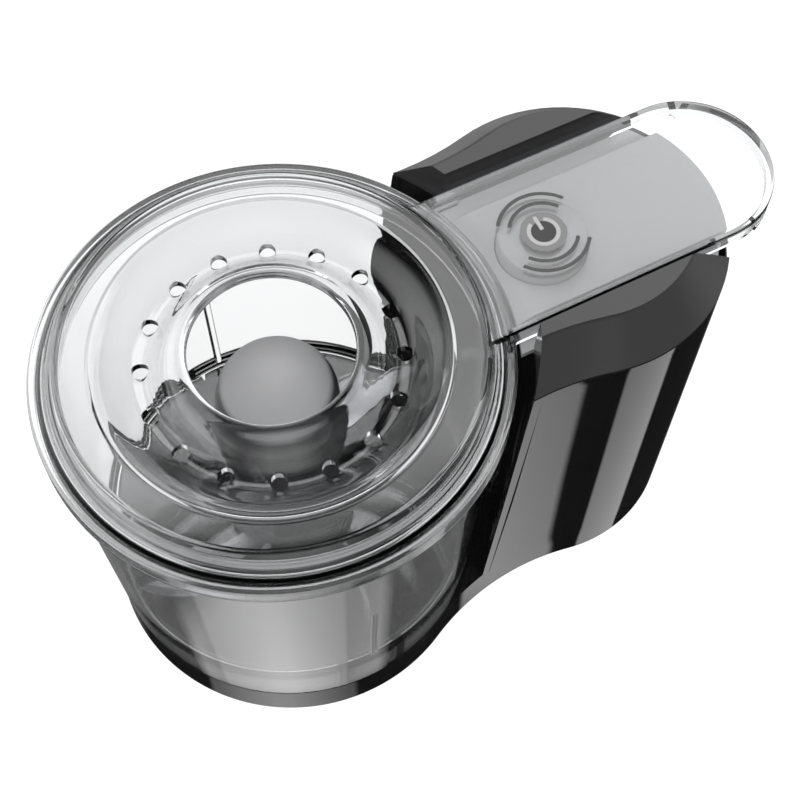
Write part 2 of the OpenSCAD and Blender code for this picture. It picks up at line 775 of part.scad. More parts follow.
module motor_bridge() {
    color("#2a2a2c") at_motor() difference() {
        union() {
            block(-7, 7, -leg_y - 3, leg_y + 3, bridge_z, bridge_z + bridge_t);
            translate([0, 0, bridge_z]) cylinder(h = 7, r = 8.4);
            for (s = [-1, 1]) block(-7, 7, s * leg_y - 2.8, s * leg_y + 2.8,
                stack_z + stack_h, bridge_z + 1);
            block(-21, 21, -6, 6, bridge_z - 5.8, bridge_z - 0.5);
            block(-12.5, 12.5, -6, 6, bridge_z - 5.8, bridge_z + 2);
        }
        translate([0, 0, bridge_z - 7]) cylinder(h = 7, r = comm_r + 1.4);
        translate([0, 0, bridge_z - 1]) cylinder(h = 12, r = 6);
        for (s = [-1, 1]) translate([0, s * leg_y, stack_z]) cylinder(h = 60, r = 1.8);
    }
}

module motor_bolts() {
    color("#8a8d90") at_motor() for (s = [-1, 1]) translate([0, s * leg_y, plate_z])
        screw(1.6, bridge_z + bridge_t + 2 - plate_z, 3.1, 1.4);
}

module motor_bushes() {
    color("#a8803f") at_motor() for (z = [plate_z + 1, bridge_z + 0.4])
        translate([0, 0, z]) difference() {
            cylinder(h = 6.4, r = 6);
            translate([0, 0, -1]) cylinder(h = 9, r = motor_r + run);
        }
}

module brush_holders() {
    color("#b08d3c") at_motor() for (s = [0, 1]) mirror([s, 0, 0]) difference() {
        block(comm_r + 1, 20.5, -3.4, 3.4, 83.4, bridge_z - 5.8);
        block(comm_r, 22, -2.3, 2.3, 84.4, 88.2);
    }
}

module carbon_brushes() {
    color("#2b2b2b") at_motor() for (s = [0, 1]) mirror([s, 0, 0]) difference() {
        block(comm_r - 1, 18.5, -2.3, 2.3, 84.4, 88.2);
        translate([0, 0, 80]) cylinder(h = 12, r = comm_r + 0.1);
    }
}

module motor_shaft() {
    color("#b9bcc0") at_motor() rotate_extrude() polygon([[0, shaft_low + 0.5],
        [motor_r - 0.5, shaft_low + 0.5], [motor_r, shaft_low + 1], [motor_r, motor_top - 0.5],
        [motor_r - 0.5, motor_top], [0, motor_top]]);
}

module armature_core() {
    color("#6b6d70") at_motor() translate([0, 0, stack_z]) linear_extrude(stack_h) difference() {
        circle(core_r);
        circle(motor_r);
        for (a = [0 : 30 : 330]) rotate(a) {
            translate([13.2, 0]) circle(2.2);
            translate([13, -0.7]) square([5, 1.4]);
        }
    }
}

module armature_winding() {
    color("#b4662f") at_motor() {
        for (m = [0, 1]) translate([0, 0, stack_z + stack_h / 2]) mirror([0, 0, m])
            rotate_extrude() polygon([[motor_r, stack_h / 2], [15.2, stack_h / 2],
                [15.4, stack_h / 2 + 3.5], [13, stack_h / 2 + 7], [8, stack_h / 2 + 8],
                [motor_r, stack_h / 2 + 8]]);
        for (a = [0 : 30 : 330]) rotate(a) translate([13.2, 0, stack_z - 1])
            cylinder(h = stack_h + 2, r = 2.1);
    }
}

module commutator() {
    color("#b87333") at_motor() translate([0, 0, comm_z]) difference() {
        cylinder(h = 12, r = comm_r);
        translate([0, 0, -1]) cylinder(h = 14, r = motor_r);
        for (a = [0 : 15 : 345]) rotate(a) block(comm_r - 0.8, comm_r + 1, -0.25, 0.25, 2, 13);
    }
}

module cooling_fan() {
    color("#2f3033") at_motor() translate([0, 0, 28.5]) difference() {
        union() {
            cylinder(h = 1.5, r = 20.6);
            cylinder(h = 7, r = 6);
            for (i = [0 : 10]) rotate(i * 360 / 11) translate([12.6, 0, 4])
                rotate([0, 0, 20]) cube([14.5, 1.2, 6], center = true);
        }
        translate([0, 0, -1]) cylinder(h = 10, r = motor_r);
    }
}

// Belt drive under the platform

function teeth(n, tip) = [for (i = [0 : n - 1]) let(p = 360 / n)
    each [for (q = [[-0.3, 0], [-0.2, 1], [0.2, 1], [0.3, 0]])
        let(a = p * (i + q[0]), r = tip - tooth_d * (1 - q[1])) r * [cos(a), sin(a)]]];

module motor_pulley() {
    color("#9a9da1") at_motor() difference() {
        union() {
            translate([0, 0, belt_z - 0.5]) linear_extrude(belt_w + 1)
                polygon(teeth(small_n, small_tip));
            for (z = [belt_z - 0.5 - flange_t, belt_z + belt_w + 0.5]) translate([0, 0, z])
                cylinder(h = flange_t, r = small_tip + 1.4);
        }
        cylinder(h = 40, r = motor_r);
    }
}

module driven_pulley() {
    color("#d8d5cc") at_bowl() difference() {
        union() {
            translate([0, 0, belt_z - 0.5]) linear_extrude(belt_w + 1) difference() {
                polygon(teeth(big_n, big_tip));
                circle(big_tip - tooth_d - 2);
            }
            translate([0, 0, belt_z + 1.5]) cylinder(h = 2, r = big_tip - tooth_d - 1);
            translate([0, 0, belt_z - 1.5])
                cylinder(h = tube_low - 1 - belt_z + 1.5, r = spindle_r + 4);
            for (a = [0 : 60 : 300]) rotate(a)
                block(6, big_tip - tooth_d - 1, -0.9, 0.9, belt_z, belt_z + belt_w - 0.5);
        }
        cylinder(h = 40, r = spindle_r);
        for (a = [30 : 60 : 330]) rotate(a) translate([18.5, 0, 0]) cylinder(h = 20, r = 5);
    }
}

// Belt's outline at a distance from the tooth tips: two arcs joined by their tangents
function belt_path(grow) = let(
    ra = big_tip + grow,
    rb = small_tip + grow,
    t = acos((ra - rb) / motor_x))
    concat([for (i = [0 : 60]) let(a = t + (360 - 2 * t) * i / 60) ra * [cos(a), sin(a)]],
        [for (i = [0 : 20]) let(a = -t + 2 * t * i / 20) [motor_x, 0] + rb * [cos(a), sin(a)]]);

module drive_belt() {
    color("#161616") at_bowl() translate([0, 0, belt_z]) linear_extrude(belt_w) difference() {
        polygon(belt_path(seat + belt_t));
        polygon(belt_path(seat));
    }
}

// Spindle with its bushes, seal and hexagonal driver

module spindle_shaft() {
    color("#b9bcc0") at_bowl() rotate_extrude() polygon([[0, shaft_low],
        [spindle_r - 0.5, shaft_low], [spindle_r, shaft_low + 0.5],
        [spindle_r, coupler_z + coupler_h - 1], [spindle_r - 0.6, coupler_z + coupler_h - 0.4],
        [0, coupler_z + coupler_h - 0.4]]);
}

module spindle_washer() {
    color("#b9bcc0") at_bowl() translate([0, 0, tube_low - 1])
        ring(tube_in - 0.2, spindle_r, 0.7);
}

module spindle_bushes() {
    color("#a8803f") at_bowl() for (z = [tube_low, tube_top - 3 - bush_h])
        translate([0, 0, z]) ring(tube_in, spindle_r + run, bush_h);
}

module spindle_seal() {
    color("#1a1a1a") at_bowl() translate([0, 0, tube_top - 2.6]) difference() {
        cylinder(h = 2.6, r = tube_in);
        translate([0, 0, -1]) cylinder(h = 5, r = spindle_r + run);
        translate([0, 0, 1.2]) cylinder(h = 2, r1 = spindle_r + 0.6, r2 = spindle_r + 1.8);
    }
}

module drive_coupler() {
    color("#2a2a2c") at_bowl() difference() {
        union() {
            translate([0, 0, coupler_z]) cylinder(h = coupler_h - 1, r = hex_w / 2 / cos(30),
                $fn = 6);
            translate([0, 0, coupler_z + coupler_h - 1 - eps])
                cylinder(h = 1, r = hex_w / 2 - 0.7);
            translate([0, 0, tube_top + seat]) cylinder(h = coupler_z - tube_top, r = hex_w / 2 - 0.2);
            translate([0, 0, tube_top + seat]) cylinder(h = 1.6, r = slinger_r);
        }
        cylinder(h = coupler_z + coupler_h - 0.4, r = spindle_r);
    }
}

// Bowl: clear, with skirt, post, two inner ribs and four lugs

function bowl_at(z) = bowl_r + bowl_taper * (z - skirt_z);

module bowl() {
    rim = bowl_at(rim_z);
    color([0.85, 0.88, 0.9, 0.35]) at_bowl() {
        rotate_extrude() polygon([
            [bowl_r - bowl_wall, skirt_z], [bowl_r - 0.3, skirt_z], [bowl_r, skirt_z + 0.4],
            [rim, rim_z], [rim + 0.8, bowl_top - 2.9], [rim + 0.8, bowl_top - 0.5],
            [rim + 0.3, bowl_top], [rim - bowl_wall + 0.5, bowl_top],
            [rim - bowl_wall, bowl_top - 0.6], [bowl_at(floor_top + 6) - bowl_wall, floor_top + 6],
            [bowl_at(floor_top) - bowl_wall - 0.6, floor_top + 3],
            [bowl_at(floor_top) - bowl_wall - 2.2, floor_top + 0.9],
            [bowl_at(floor_top) - bowl_wall - 4.8, floor_top],
            [post_out + 2, floor_top], [post_out + 0.4, floor_top + 0.7],
            [post_out, floor_top + 2.2], [post_out, post_top - 0.6], [post_out - 0.6, post_top],
            [post_in, post_top], [post_in, floor_under],
            [bowl_r - bowl_wall - 1.6, floor_under], [bowl_r - bowl_wall, floor_under - 1.6]]);
        for (a = [90, -90]) rotate(a) {
            translate([bowl_at(floor_top) - bowl_wall - 0.35, 0, floor_top - 0.5])
                rotate([0, atan(bowl_taper), 0]) {
                    cylinder(h = 41, r = 1.2, $fn = 32);
                    translate([0, 0, 41]) sphere(r = 1.2, $fn = 32);
                }
        }
        for (a = lug_angles) rotate(a) {
            block(bowl_r - bowl_wall - lug_d + lug_w / 2, bowl_r - 1, -lug_w / 2, lug_w / 2,
                skirt_z + 0.6, floor_under + 0.5);
            translate([bowl_r - bowl_wall - lug_d + lug_w / 2, 0, skirt_z + 0.6])
                cylinder(h = floor_under - skirt_z - 0.2, r = lug_w / 2, $fn = 32);
        }
    }
}

// Blade set: hub with cap, two sickle blades half a turn apart

blade_tip = bowl_r - bowl_wall - blade_clear;
blade_z = floor_top + blade_low;
hub_low = floor_top + 1.6;
hub_in = post_out + slide;
dome_z = lid_top - 27.2;
dome_seam = dome_z - 4;

// A blade is a crescent between two arcs, ground to an edge along the outer one
module blade_at(i) {
    sag = [14.5, 3.4];
    r = [for (s = sag) s / 2 + pow(blade_tip, 2) / (8 * s)];
    ground = 1.8;
    translate([0, 0, blade_z + i * blade_gap]) rotate(-172 + 180 * i) difference() {
        union() {
            difference() {
                translate([blade_tip / 2, sag[0] - r[0], 0]) union() {
                    cylinder(h = blade_t, r1 = r[0], r2 = r[0] - ground);
                    cylinder(h = 0.15, r = r[0]);
                }
                translate([blade_tip / 2, sag[1] - r[1], -1])
                    cylinder(h = blade_t + 2, r = r[1], $fn = 200);
                translate([-100, -200, -1]) cube([300, 200, blade_t + 2]);
                translate([-200, -100, -1]) cube([200, 300, blade_t + 2]);
            }
            cylinder(h = blade_t, r = hub_r - 1.4);
        }
        translate([0, 0, -1]) cylinder(h = blade_t + 2, r = hub_in + 2);
    }
}

module blade_hub() {
    upper = blade_z + blade_gap + blade_t + 4;
    color("#8f8f91") at_bowl() difference() {
        rotate_extrude() polygon([[hub_in, hub_low], [hub_r + 1.2, hub_low],
            [hub_r + 1.4, hub_low + 1], [hub_r + 1.4, hub_low + 8], [hub_r, hub_low + 11],
            [hub_r, dome_seam], [hub_r - 1.6, dome_seam], [hub_r - 1.6, upper],
            [hub_in + 1.6, upper], [hub_in + 1.6, post_top + 2.6],
            [hex_w / 2 + 3.4, post_top + 3.6], [hex_w / 2 + 3.4, dome_seam],
            [0, dome_seam], [0, post_top + seat], [hub_in, post_top + seat]]);
        translate([0, 0, post_top - 1]) cylinder(h = dome_seam - post_top + 2,
            r = (hex_w / 2 + seat) / cos(30), $fn = 6);
        blade_at(0);
        blade_at(1);
    }
}

module hub_cap() {
    color("#8f8f91") at_bowl() translate([0, 0, dome_z]) {
        difference() {
            union() {
                sphere(r = hub_r);
                translate([0, 0, dome_seam - dome_z]) cylinder(h = dome_z - dome_seam, r = hub_r);
            }
            sphere(r = hub_r - 2);
            translate([0, 0, -60]) cylinder(h = 60 + dome_seam - dome_z, r = hub_r + 1);
            translate([0, 0, dome_seam - dome_z - 1]) cylinder(h = 1 + dome_z - dome_seam,
                r = hub_r - 2);
        }
        // Spigot inside the hub's wall
        translate([0, 0, dome_seam - dome_z - 3]) ring(hub_r - 1.7, hub_r - 3.2, 6);
    }
}

module lower_blade() { color("#c3c6c9") at_bowl() blade_at(0); }

module upper_blade() { color("#c3c6c9") at_bowl() blade_at(1); }

// Lid: open middle, drip channel with a ring of holes, stepped rim and arm

function wave(r0, z0, r1, z1, n) = [for (i = [1 : n]) let(t = i / n)
    [r0 + (r1 - r0) * t, z0 + (z1 - z0) * (1 - cos(180 * t)) / 2]];

module lid_ring() {
    low = lid_top - channel_d;
    flat = lid_r - 8;
    crest = flat - 9.2;
    lift = lid_top + 1.6;
    under = lid_top - lid_wall;
    plug = bowl_at(bowl_top) - bowl_wall - 1.1;
    n = 10;
    rotate_extrude() polygon(concat(
        [[hole_r, lid_top - 0.4], [hole_r + 0.3, lift - 0.5], [hole_r + 1.1, lift],
            [hole_r + 2, lift - 0.2]],
        wave(hole_r + 2, lift - 0.2, drip_ring_r, low, n),
        wave(drip_ring_r, low, crest - 0.6, lid_top + 0.1, n),
        [[crest + 0.6, lid_top + 0.3], [crest + 1.6, lid_top], [flat, lid_top],
            [flat + 1, lid_top - 0.5], [flat + 2.2, lid_top - 2.2], [flat + 4.2, lid_top - 5.6],
            [flat + 5, lid_top - 6.1], [lid_r - 1, lid_top - 6.2], [lid_r - 0.3, lid_top - 6.6],
            [lid_r, lid_top - 7.2], [lid_r, lid_top - 12.8], [lid_r - 0.3, lid_top - 13.1],
            [lid_r - 1.5, lid_top - 13.1], [lid_r - 1.8, lid_top - 12.6],
            [lid_r - 1.8, bowl_top + seat], [plug, bowl_top + seat],
            [plug, bowl_top - 3.6], [plug - 0.4, bowl_top - 4], [plug - 1.6, bowl_top - 4],
            [plug - 1.6, under - 2], [flat - 1.2, under], [crest + 1, under]],
        [for (i = [1 : n]) let(p = wave(crest + 1, under, drip_ring_r, low - lid_wall - 0.2, n))
            p[i - 1]],
        [for (i = [1 : n]) let(p = wave(drip_ring_r, low - lid_wall - 0.2, hole_r + 1,
            lid_top - 1.2, n)) p[i - 1]]));
}

module arm_plan(t) {
    difference() {
        union() {
            translate([0, t - arm_half]) square([arm_end - arm_half, 2 * (arm_half - t)]);
            translate([arm_end - arm_half, 0]) circle(arm_half - t);
        }
        circle(lid_r - 7.1);
    }
}
module arm_solid() {
    skirt = tower_h + 0.4;
    notch = arm_under - 3;
    translate([0, 0, arm_under]) linear_extrude(arm_t - 0.5) arm_plan(0);
    translate([0, 0, arm_top - 0.5 - eps]) linear_extrude(0.5) arm_plan(0.5);
    difference() {
        translate([0, 0, skirt]) linear_extrude(arm_under - skirt + eps) difference() {
            arm_plan(0);
            arm_plan(lid_wall);
            circle(lid_r - 1.9);
        }
        // The side walls clear the panel while the arm is pressed down
        block(nest_r + nest_taper * tower_h - 2, cap_x + cap_r + 2, -arm_half - 1, arm_half + 1,
            skirt - 1, notch);
    }
}

module lid_cylinder() {
    translate([0, 0, tower_h - 20]) cylinder(h = 60, r = lid_r);
}

module lid() {
    color([0.85, 0.88, 0.9, 0.35]) at_bowl() difference() {
        union() {
            lid_ring();
            intersection() {
                arm_solid();
                lid_cylinder();
            }
        }
        for (i = [0 : drip_n - 1]) rotate(i * 360 / drip_n)
            translate([drip_ring_r, 0, lid_top - channel_d - 6]) cylinder(h = 12, r = drip_r);
    }
}

// The arm is moulded in one with the lid and starts at the lid's outside
module lid_arm() {
    color([0.85, 0.88, 0.9, 0.35]) at_bowl() difference() {
        arm_solid();
        lid_cylinder();
    }
}

base_housing();
base_cover();
cover_screws();
rubber_feet();
top_cap();
cap_screws();
switch_panel();
switch_carrier();
carrier_screws();
switch_body();
switch_terminals();
switch_plunger();
switch_lever();
switch_button();
button_spring();
circuit_board();
board_parts();
board_screws();
motor_plate();
motor_plate_screws();
motor_stator();
field_coils();
motor_bridge();
motor_bolts();
motor_bushes();
brush_holders();
carbon_brushes();
motor_shaft();
armature_core();
armature_winding();
commutator();
cooling_fan();
motor_pulley();
drive_belt();
driven_pulley();
spindle_shaft();
spindle_washer();
spindle_bushes();
spindle_seal();
drive_coupler();
bowl();
blade_hub();
hub_cap();
lower_blade();
upper_blade();
lid();
lid_arm();
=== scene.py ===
import math

import bmesh
import bpy
from mathutils import Matrix, Vector


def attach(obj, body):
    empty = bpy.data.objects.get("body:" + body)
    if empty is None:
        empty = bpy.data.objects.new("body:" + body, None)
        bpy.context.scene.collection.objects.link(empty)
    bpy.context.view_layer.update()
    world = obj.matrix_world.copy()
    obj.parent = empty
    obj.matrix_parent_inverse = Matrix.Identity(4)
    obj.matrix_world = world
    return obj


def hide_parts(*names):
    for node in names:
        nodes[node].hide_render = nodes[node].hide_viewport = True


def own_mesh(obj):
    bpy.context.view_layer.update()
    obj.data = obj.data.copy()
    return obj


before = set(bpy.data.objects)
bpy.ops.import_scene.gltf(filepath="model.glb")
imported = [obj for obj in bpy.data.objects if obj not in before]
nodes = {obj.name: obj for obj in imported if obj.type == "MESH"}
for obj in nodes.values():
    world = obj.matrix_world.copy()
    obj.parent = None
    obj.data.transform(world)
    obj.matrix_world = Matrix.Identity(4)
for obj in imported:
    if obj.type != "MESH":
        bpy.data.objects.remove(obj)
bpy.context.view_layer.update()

# Photo studio: the camera looks down on the chopper from its front left. A white table runs into a
# white background without an edge, and large soft lights stand over it and round it.
scene = bpy.context.scene
scene.view_settings.view_transform = "Standard"
lens = bpy.data.cameras.new("studio_camera")
lens.lens = 68.468
lens.sensor_width = 36
lens.clip_start = 0.01
lens.clip_end = 20
camera = bpy.data.objects.new("studio_camera", lens)
scene.collection.objects.link(camera)
scene.camera = camera
stand = Vector((-0.10548, -0.18554, 0.47059))
target = Vector((-0.01118, -0.01078, 0.09057))
roll = -0.0210266
forward = (target - stand).normalized()
level = forward.cross(Vector((0, 0, 1))).normalized()
right = Matrix.Rotation(roll, 3, forward) @ level
camera.matrix_world = Matrix.LocRotScale(
    stand, Matrix((right, right.cross(forward), -forward)).transposed(), None)

studio = bpy.data.worlds.new("studio")
scene.world = studio
studio.use_nodes = True


def add(tree, kind, **settings):
    """A node with its settings; an input is set by its name or number."""
    made = tree.nodes.new(kind)
    for key, value in settings.items():
        if key.startswith("in_"):
            label = key[3:]
            socket = int(label) if label.isdigit() else label.replace("_", " ")
            made.inputs[socket].default_value = value
        else:
            setattr(made, key, value)
    return made


def math_node(tree, operation, a, b=None, clamp=False):
    """Result of a math node on one or two values, each a number or a socket."""
    made = add(tree, "ShaderNodeMath", operation=operation, use_clamp=clamp)
    for i, value in enumerate((a, b)):
        if value is None:
            continue
        if isinstance(value, (int, float)):
            made.inputs[i].default_value = value
        else:
            tree.links.new(value, made.inputs[i])
    return made.outputs[0]


def light_panel(tree, azimuth, elevation, centre, half, low, high, soft, fade, strength):
    """Soft panel on the studio's sphere: half width in degrees about centre, from low to high."""
    half_turn = 180
    turn = math_node(tree, "WRAP", math_node(tree, "SUBTRACT", azimuth, centre), half_turn)
    turn.node.inputs[2].default_value = -half_turn
    side = math_node(tree, "SUBTRACT", half, math_node(tree, "ABSOLUTE", turn))
    up = math_node(tree, "MINIMUM", math_node(tree, "SUBTRACT", elevation, low),
                   math_node(tree, "SUBTRACT", high, elevation))
    edge = [math_node(tree, "DIVIDE", math_node(tree, "ADD", d, w / 2), w, clamp=True)
            for d, w in ((side, soft), (up, fade))]
    return math_node(tree, "MULTIPLY", math_node(tree, "MULTIPLY", *edge), strength)


# The camera and matt surfaces see plain white; mirrored and bent light comes from the panels
backdrop_white, panel_white, dim_room = 1.02, 0.8, 0.018
tree = studio.node_tree
tree.nodes.clear()
place = add(tree, "ShaderNodeTexCoord")
split = add(tree, "ShaderNodeSeparateXYZ")
tree.links.new(place.outputs["Generated"], split.inputs[0])
bearing = math_node(tree, "ARCTAN2", split.outputs[1], split.outputs[0])
azimuth = math_node(tree, "MULTIPLY", bearing, math.degrees(1))
elevation = math_node(
    tree, "MULTIPLY", math_node(tree, "ARCSINE", split.outputs[2]), math.degrees(1))
total = None
for panel in (
        # centre, half width, low, high, softness across and up, strength
        (55, 50, 40, 65.5, 14, 3, 2.7),
        (-43.5, 19.5, -68, -48, 2.5, 3, 1.3),
        (-132, 51, -95, -64, 4, 6, 0.4),
        (-132, 26, -95, -64, 40, 6, 0.95),
        (-125, 76, -95, -72, 10, 2, 0.75),
        (0, 200, -44, 36, 1, 10, 0.3),
        (36, 9, -67, -48, 4, 4, 0.1),
        (82, 30, -80, -48, 20, 6, 0.15),
        (-20, 14, -20, 25, 20, 20, 0.5),
        (-110, 20, -10, 40, 20, 20, 1.0),
        (150, 40, -30, 40, 20, 20, 1.6),
        (60, 16, -38, 30, 8, 12, 0.3),
        (-160, 12, -42, 20, 8, 12, 1.0),
):
    glow = light_panel(tree, azimuth, elevation, *panel)
    total = glow if total is None else math_node(tree, "ADD", total, glow)
glossy = add(tree, "ShaderNodeBackground", in_Color=(*[panel_white] * 3, 1))
tree.links.new(math_node(tree, "ADD", total, dim_room), glossy.inputs["Strength"])
plain = add(tree, "ShaderNodeBackground", in_Color=(1, 1, 1, 1), in_Strength=backdrop_white)
path = add(tree, "ShaderNodeLightPath")
choose = add(tree, "ShaderNodeMixShader")
clear_or_glossy = math_node(
    tree, "MAXIMUM", path.outputs["Is Glossy Ray"], path.outputs["Is Transmission Ray"])
mirrored = math_node(
    tree, "SUBTRACT", clear_or_glossy, path.outputs["Diffuse Depth"], clamp=True)
tree.links.new(mirrored, choose.inputs[0])
tree.links.new(plain.outputs[0], choose.inputs[1])
tree.links.new(glossy.outputs[0], choose.inputs[2])
tree.links.new(choose.outputs[0], add(tree, "ShaderNodeOutputWorld").inputs[0])

aim = Vector((0, 0, 0.05))
for spot, size, power in (((-0.1, 0.1, 1.3), 0.9, 9), ((-0.9, -0.8, 0.9), 0.6, 5),
                          ((0.9, -0.7, 0.8), 0.6, 4)):
    lamp = bpy.data.lights.new("softbox", "AREA")
    lamp.shape = "DISK"
    lamp.size = size
    lamp.energy = power
    box = bpy.data.objects.new("softbox", lamp)
    box.location = spot
    box.rotation_euler = (aim - box.location).to_track_quat("-Z", "Y").to_euler()
    box.visible_glossy = False
    box.visible_transmission = False
    scene.collection.objects.link(box)

ground = bmesh.new()
bmesh.ops.create_circle(ground, cap_ends=True, segments=96, radius=4)
floor_mesh = bpy.data.meshes.new("studio_floor")
ground.to_mesh(floor_mesh)
ground.free()
floor = bpy.data.objects.new("studio_floor", floor_mesh)
scene.collection.objects.link(floor)
floor.visible_glossy = False
paper = bpy.data.materials.new("studio_paper")
paper.use_nodes = True
tree = paper.node_tree
matt = tree.nodes["Principled BSDF"]
matt.inputs["Roughness"].default_value = 0.9
matt.inputs["Specular IOR Level"].default_value = 0.0
matt.inputs["Emission Strength"].default_value = 0.75
matt.inputs["Emission Color"].default_value = (1, 1, 1, 1)
grain = add(tree, "ShaderNodeTexNoise", in_Scale=900.0, in_Detail=3.0)
tone = add(tree, "ShaderNodeMapRange", in_3=0.86, in_4=0.9)
tree.links.new(grain.outputs["Fac"], tone.inputs[0])
tree.links.new(tone.outputs[0], matt.inputs["Base Color"])
# Light that comes up through the clear parts is stronger from the table's middle than from far out,
# and weaker again once it has been mirrored inside them
middle, far_out = 0.2, 0.8
middle_glow, far_glow, table_glow = 1.15, 0.3, 1.03
mirror_loss, camera_share = 0.6, 0.9
path = add(tree, "ShaderNodeLightPath")
spot = add(tree, "ShaderNodeTexCoord")
reach = add(tree, "ShaderNodeVectorMath", operation="LENGTH")
tree.links.new(spot.outputs["Object"], reach.inputs[0])
fade = add(tree, "ShaderNodeMapRange", interpolation_type="SMOOTHSTEP",
           in_1=middle, in_2=far_out, in_3=middle_glow, in_4=far_glow)
tree.links.new(reach.outputs["Value"], fade.inputs[0])
bent = math_node(tree, "SUBTRACT", path.outputs["Is Transmission Ray"],
                 path.outputs["Diffuse Depth"], clamp=True)
seen = math_node(tree, "MULTIPLY", path.outputs["Is Camera Ray"], camera_share)
glow = add(tree, "ShaderNodeEmission")
strength = add(tree, "ShaderNodeMix", in_2=table_glow)
tree.links.new(bent, strength.inputs[0])
mirrored_once = math_node(tree, "MINIMUM", path.outputs["Glossy Depth"], 1)
kept = math_node(tree, "ADD", math_node(tree, "MULTIPLY", mirrored_once, -mirror_loss), 1)
tree.links.new(math_node(tree, "MULTIPLY", fade.outputs[0], kept), strength.inputs[3])
tree.links.new(strength.outputs[0], glow.inputs["Strength"])
faded = add(tree, "ShaderNodeMixShader")
tree.links.new(math_node(tree, "MAXIMUM", bent, seen), faded.inputs[0])
tree.links.new(matt.outputs[0], faded.inputs[1])
tree.links.new(glow.outputs[0], faded.inputs[2])
tree.links.new(faded.outputs[0], tree.nodes["Material Output"].inputs[0])
floor_mesh.materials.append(paper)


# Housing: one moulding in high-gloss black ABS with the round platform, the waist and the hollow
# tower. It is drawn in millimetres about the bowl's axis; the wall is 2.4 thick and open
# underneath, and the raised middle is notched at the places of the bowl's four lugs.
def skin_group(name):
    """Empty node group that turns a place and a scale into a height and a haze."""
    made = bpy.data.node_groups.new(name, "ShaderNodeTree")
    made.interface.new_socket(name="Place", in_out="INPUT", socket_type="NodeSocketVector")
    scale = made.interface.new_socket(name="Scale", in_out="INPUT", socket_type="NodeSocketFloat")
    scale.default_value = 900.0
    for label in ("Height", "Haze"):
        made.interface.new_socket(name=label, in_out="OUTPUT", socket_type="NodeSocketFloat")
    return made, made.nodes.new("NodeGroupInput"), made.nodes.new("NodeGroupOutput")


def blend(tree, a, share_a, b, share_b):
    """Sum of two sockets, each times its share."""
    return math_node(tree, "ADD", math_node(tree, "MULTIPLY", a, share_a),
                     math_node(tree, "MULTIPLY", b, share_b))


moulded, inside, outside = skin_group("moulded_skin")
fine = add(moulded, "ShaderNodeTexNoise", in_Detail=3.0, in_Roughness=0.6)
broad = add(moulded, "ShaderNodeTexNoise", in_Scale=22.0, in_Detail=4.0, in_Roughness=0.65)
swirl = add(moulded, "ShaderNodeTexNoise", in_Scale=140.0, in_Detail=2.0, in_Distortion=1.5)
for texture in (fine, broad, swirl):
    moulded.links.new(inside.outputs["Place"], texture.inputs["Vector"])
moulded.links.new(inside.outputs["Scale"], fine.inputs["Scale"])
moulded.links.new(fine.outputs["Fac"], outside.inputs["Height"])
moulded.links.new(blend(moulded, broad.outputs["Fac"], 0.7, swirl.outputs["Fac"], 0.3),
                  outside.inputs["Haze"])


def surface(name, pattern, scale, dark, light, haze, rough):
    """Material: the pattern's haze leads its colour from dark to light, and its roughness."""
    made = bpy.data.materials.new(name)
    made.use_nodes = True
    tree = made.node_tree
    skin = tree.nodes["Principled BSDF"]
    where = add(tree, "ShaderNodeTexCoord")
    look = add(tree, "ShaderNodeGroup", node_tree=pattern)
    look.inputs["Scale"].default_value = scale
    tree.links.new(where.outputs["Object"], look.inputs["Place"])
    spread = add(tree, "ShaderNodeMix", data_type="RGBA")
    spread.inputs[6].default_value = (*dark, 1)
    spread.inputs[7].default_value = (*light, 1)
    tree.links.new(look.outputs["Haze"], spread.inputs[0])
    tree.links.new(spread.outputs[2], skin.inputs["Base Color"])
    sheen = add(tree, "ShaderNodeMapRange",
                in_1=haze[0], in_2=haze[1], in_3=rough[0], in_4=rough[1])
    tree.links.new(look.outputs["Haze"], sheen.inputs[0])
    tree.links.new(sheen.outputs[0], skin.inputs["Roughness"])
    return made, skin, look


def finish_of(name, colour, tone, rough, pattern, scale, depth, metallic=0.0):
    """Opaque material: colour swings by tone, roughness over its range; bumps are depth deep."""
    made, skin, look = surface(name, pattern, scale, [c * (1 - tone) for c in colour],
                               [min(1, c * (1 + tone)) for c in colour], (0.3, 0.7), rough)
    skin.inputs["Metallic"].default_value = metallic
    tree = made.node_tree
    bump = add(tree, "ShaderNodeBump", in_Strength=1.0, in_Distance=depth)
    tree.links.new(look.outputs["Height"], bump.inputs["Height"])
    tree.links.new(bump.outputs[0], skin.inputs["Normal"])
    return made


def wire(bm, points):
    """Closed wire through the points; each vertex keeps its number in a layer."""
    number = bm.verts.layers.int.get("number") or bm.verts.layers.int.new("number")
    made = [bm.verts.new(p) for p in points]
    for i, v in enumerate(made):
        v[number] = i
    return [bm.edges.new((made[i - 1], made[i])) for i in range(len(made))]


def grow(bm, edges, points):
    """Extrudes a wire and puts each new vertex at the point with its number."""
    number = bm.verts.layers.int["number"]
    made = bmesh.ops.extrude_edge_only(bm, edges=edges)["geom"]
    fresh = {v for v in made if isinstance(v, bmesh.types.BMVert)}
    for v in fresh:
        v.co = points[v[number]]
    return [e for e in made if isinstance(e, bmesh.types.BMEdge) and set(e.verts) <= fresh]


bowl_axis = Vector((-43.4, 0, 0))


def make_object(bm, name, finish):
    """Puts the bmesh in place, in metres, as an object with its finish."""
    bmesh.ops.recalc_face_normals(bm, faces=bm.faces[:])
    bmesh.ops.transform(bm, verts=bm.verts[:],
                        matrix=Matrix.Scale(0.001, 4) @ Matrix.Translation(bowl_axis))
    mesh = bpy.data.meshes.new(name)
    bm.to_mesh(mesh)
    bm.free()
    obj = bpy.data.objects.new(name, mesh)
    scene.collection.objects.link(obj)
    if finish:
        mesh.materials.append(finish)
    return obj


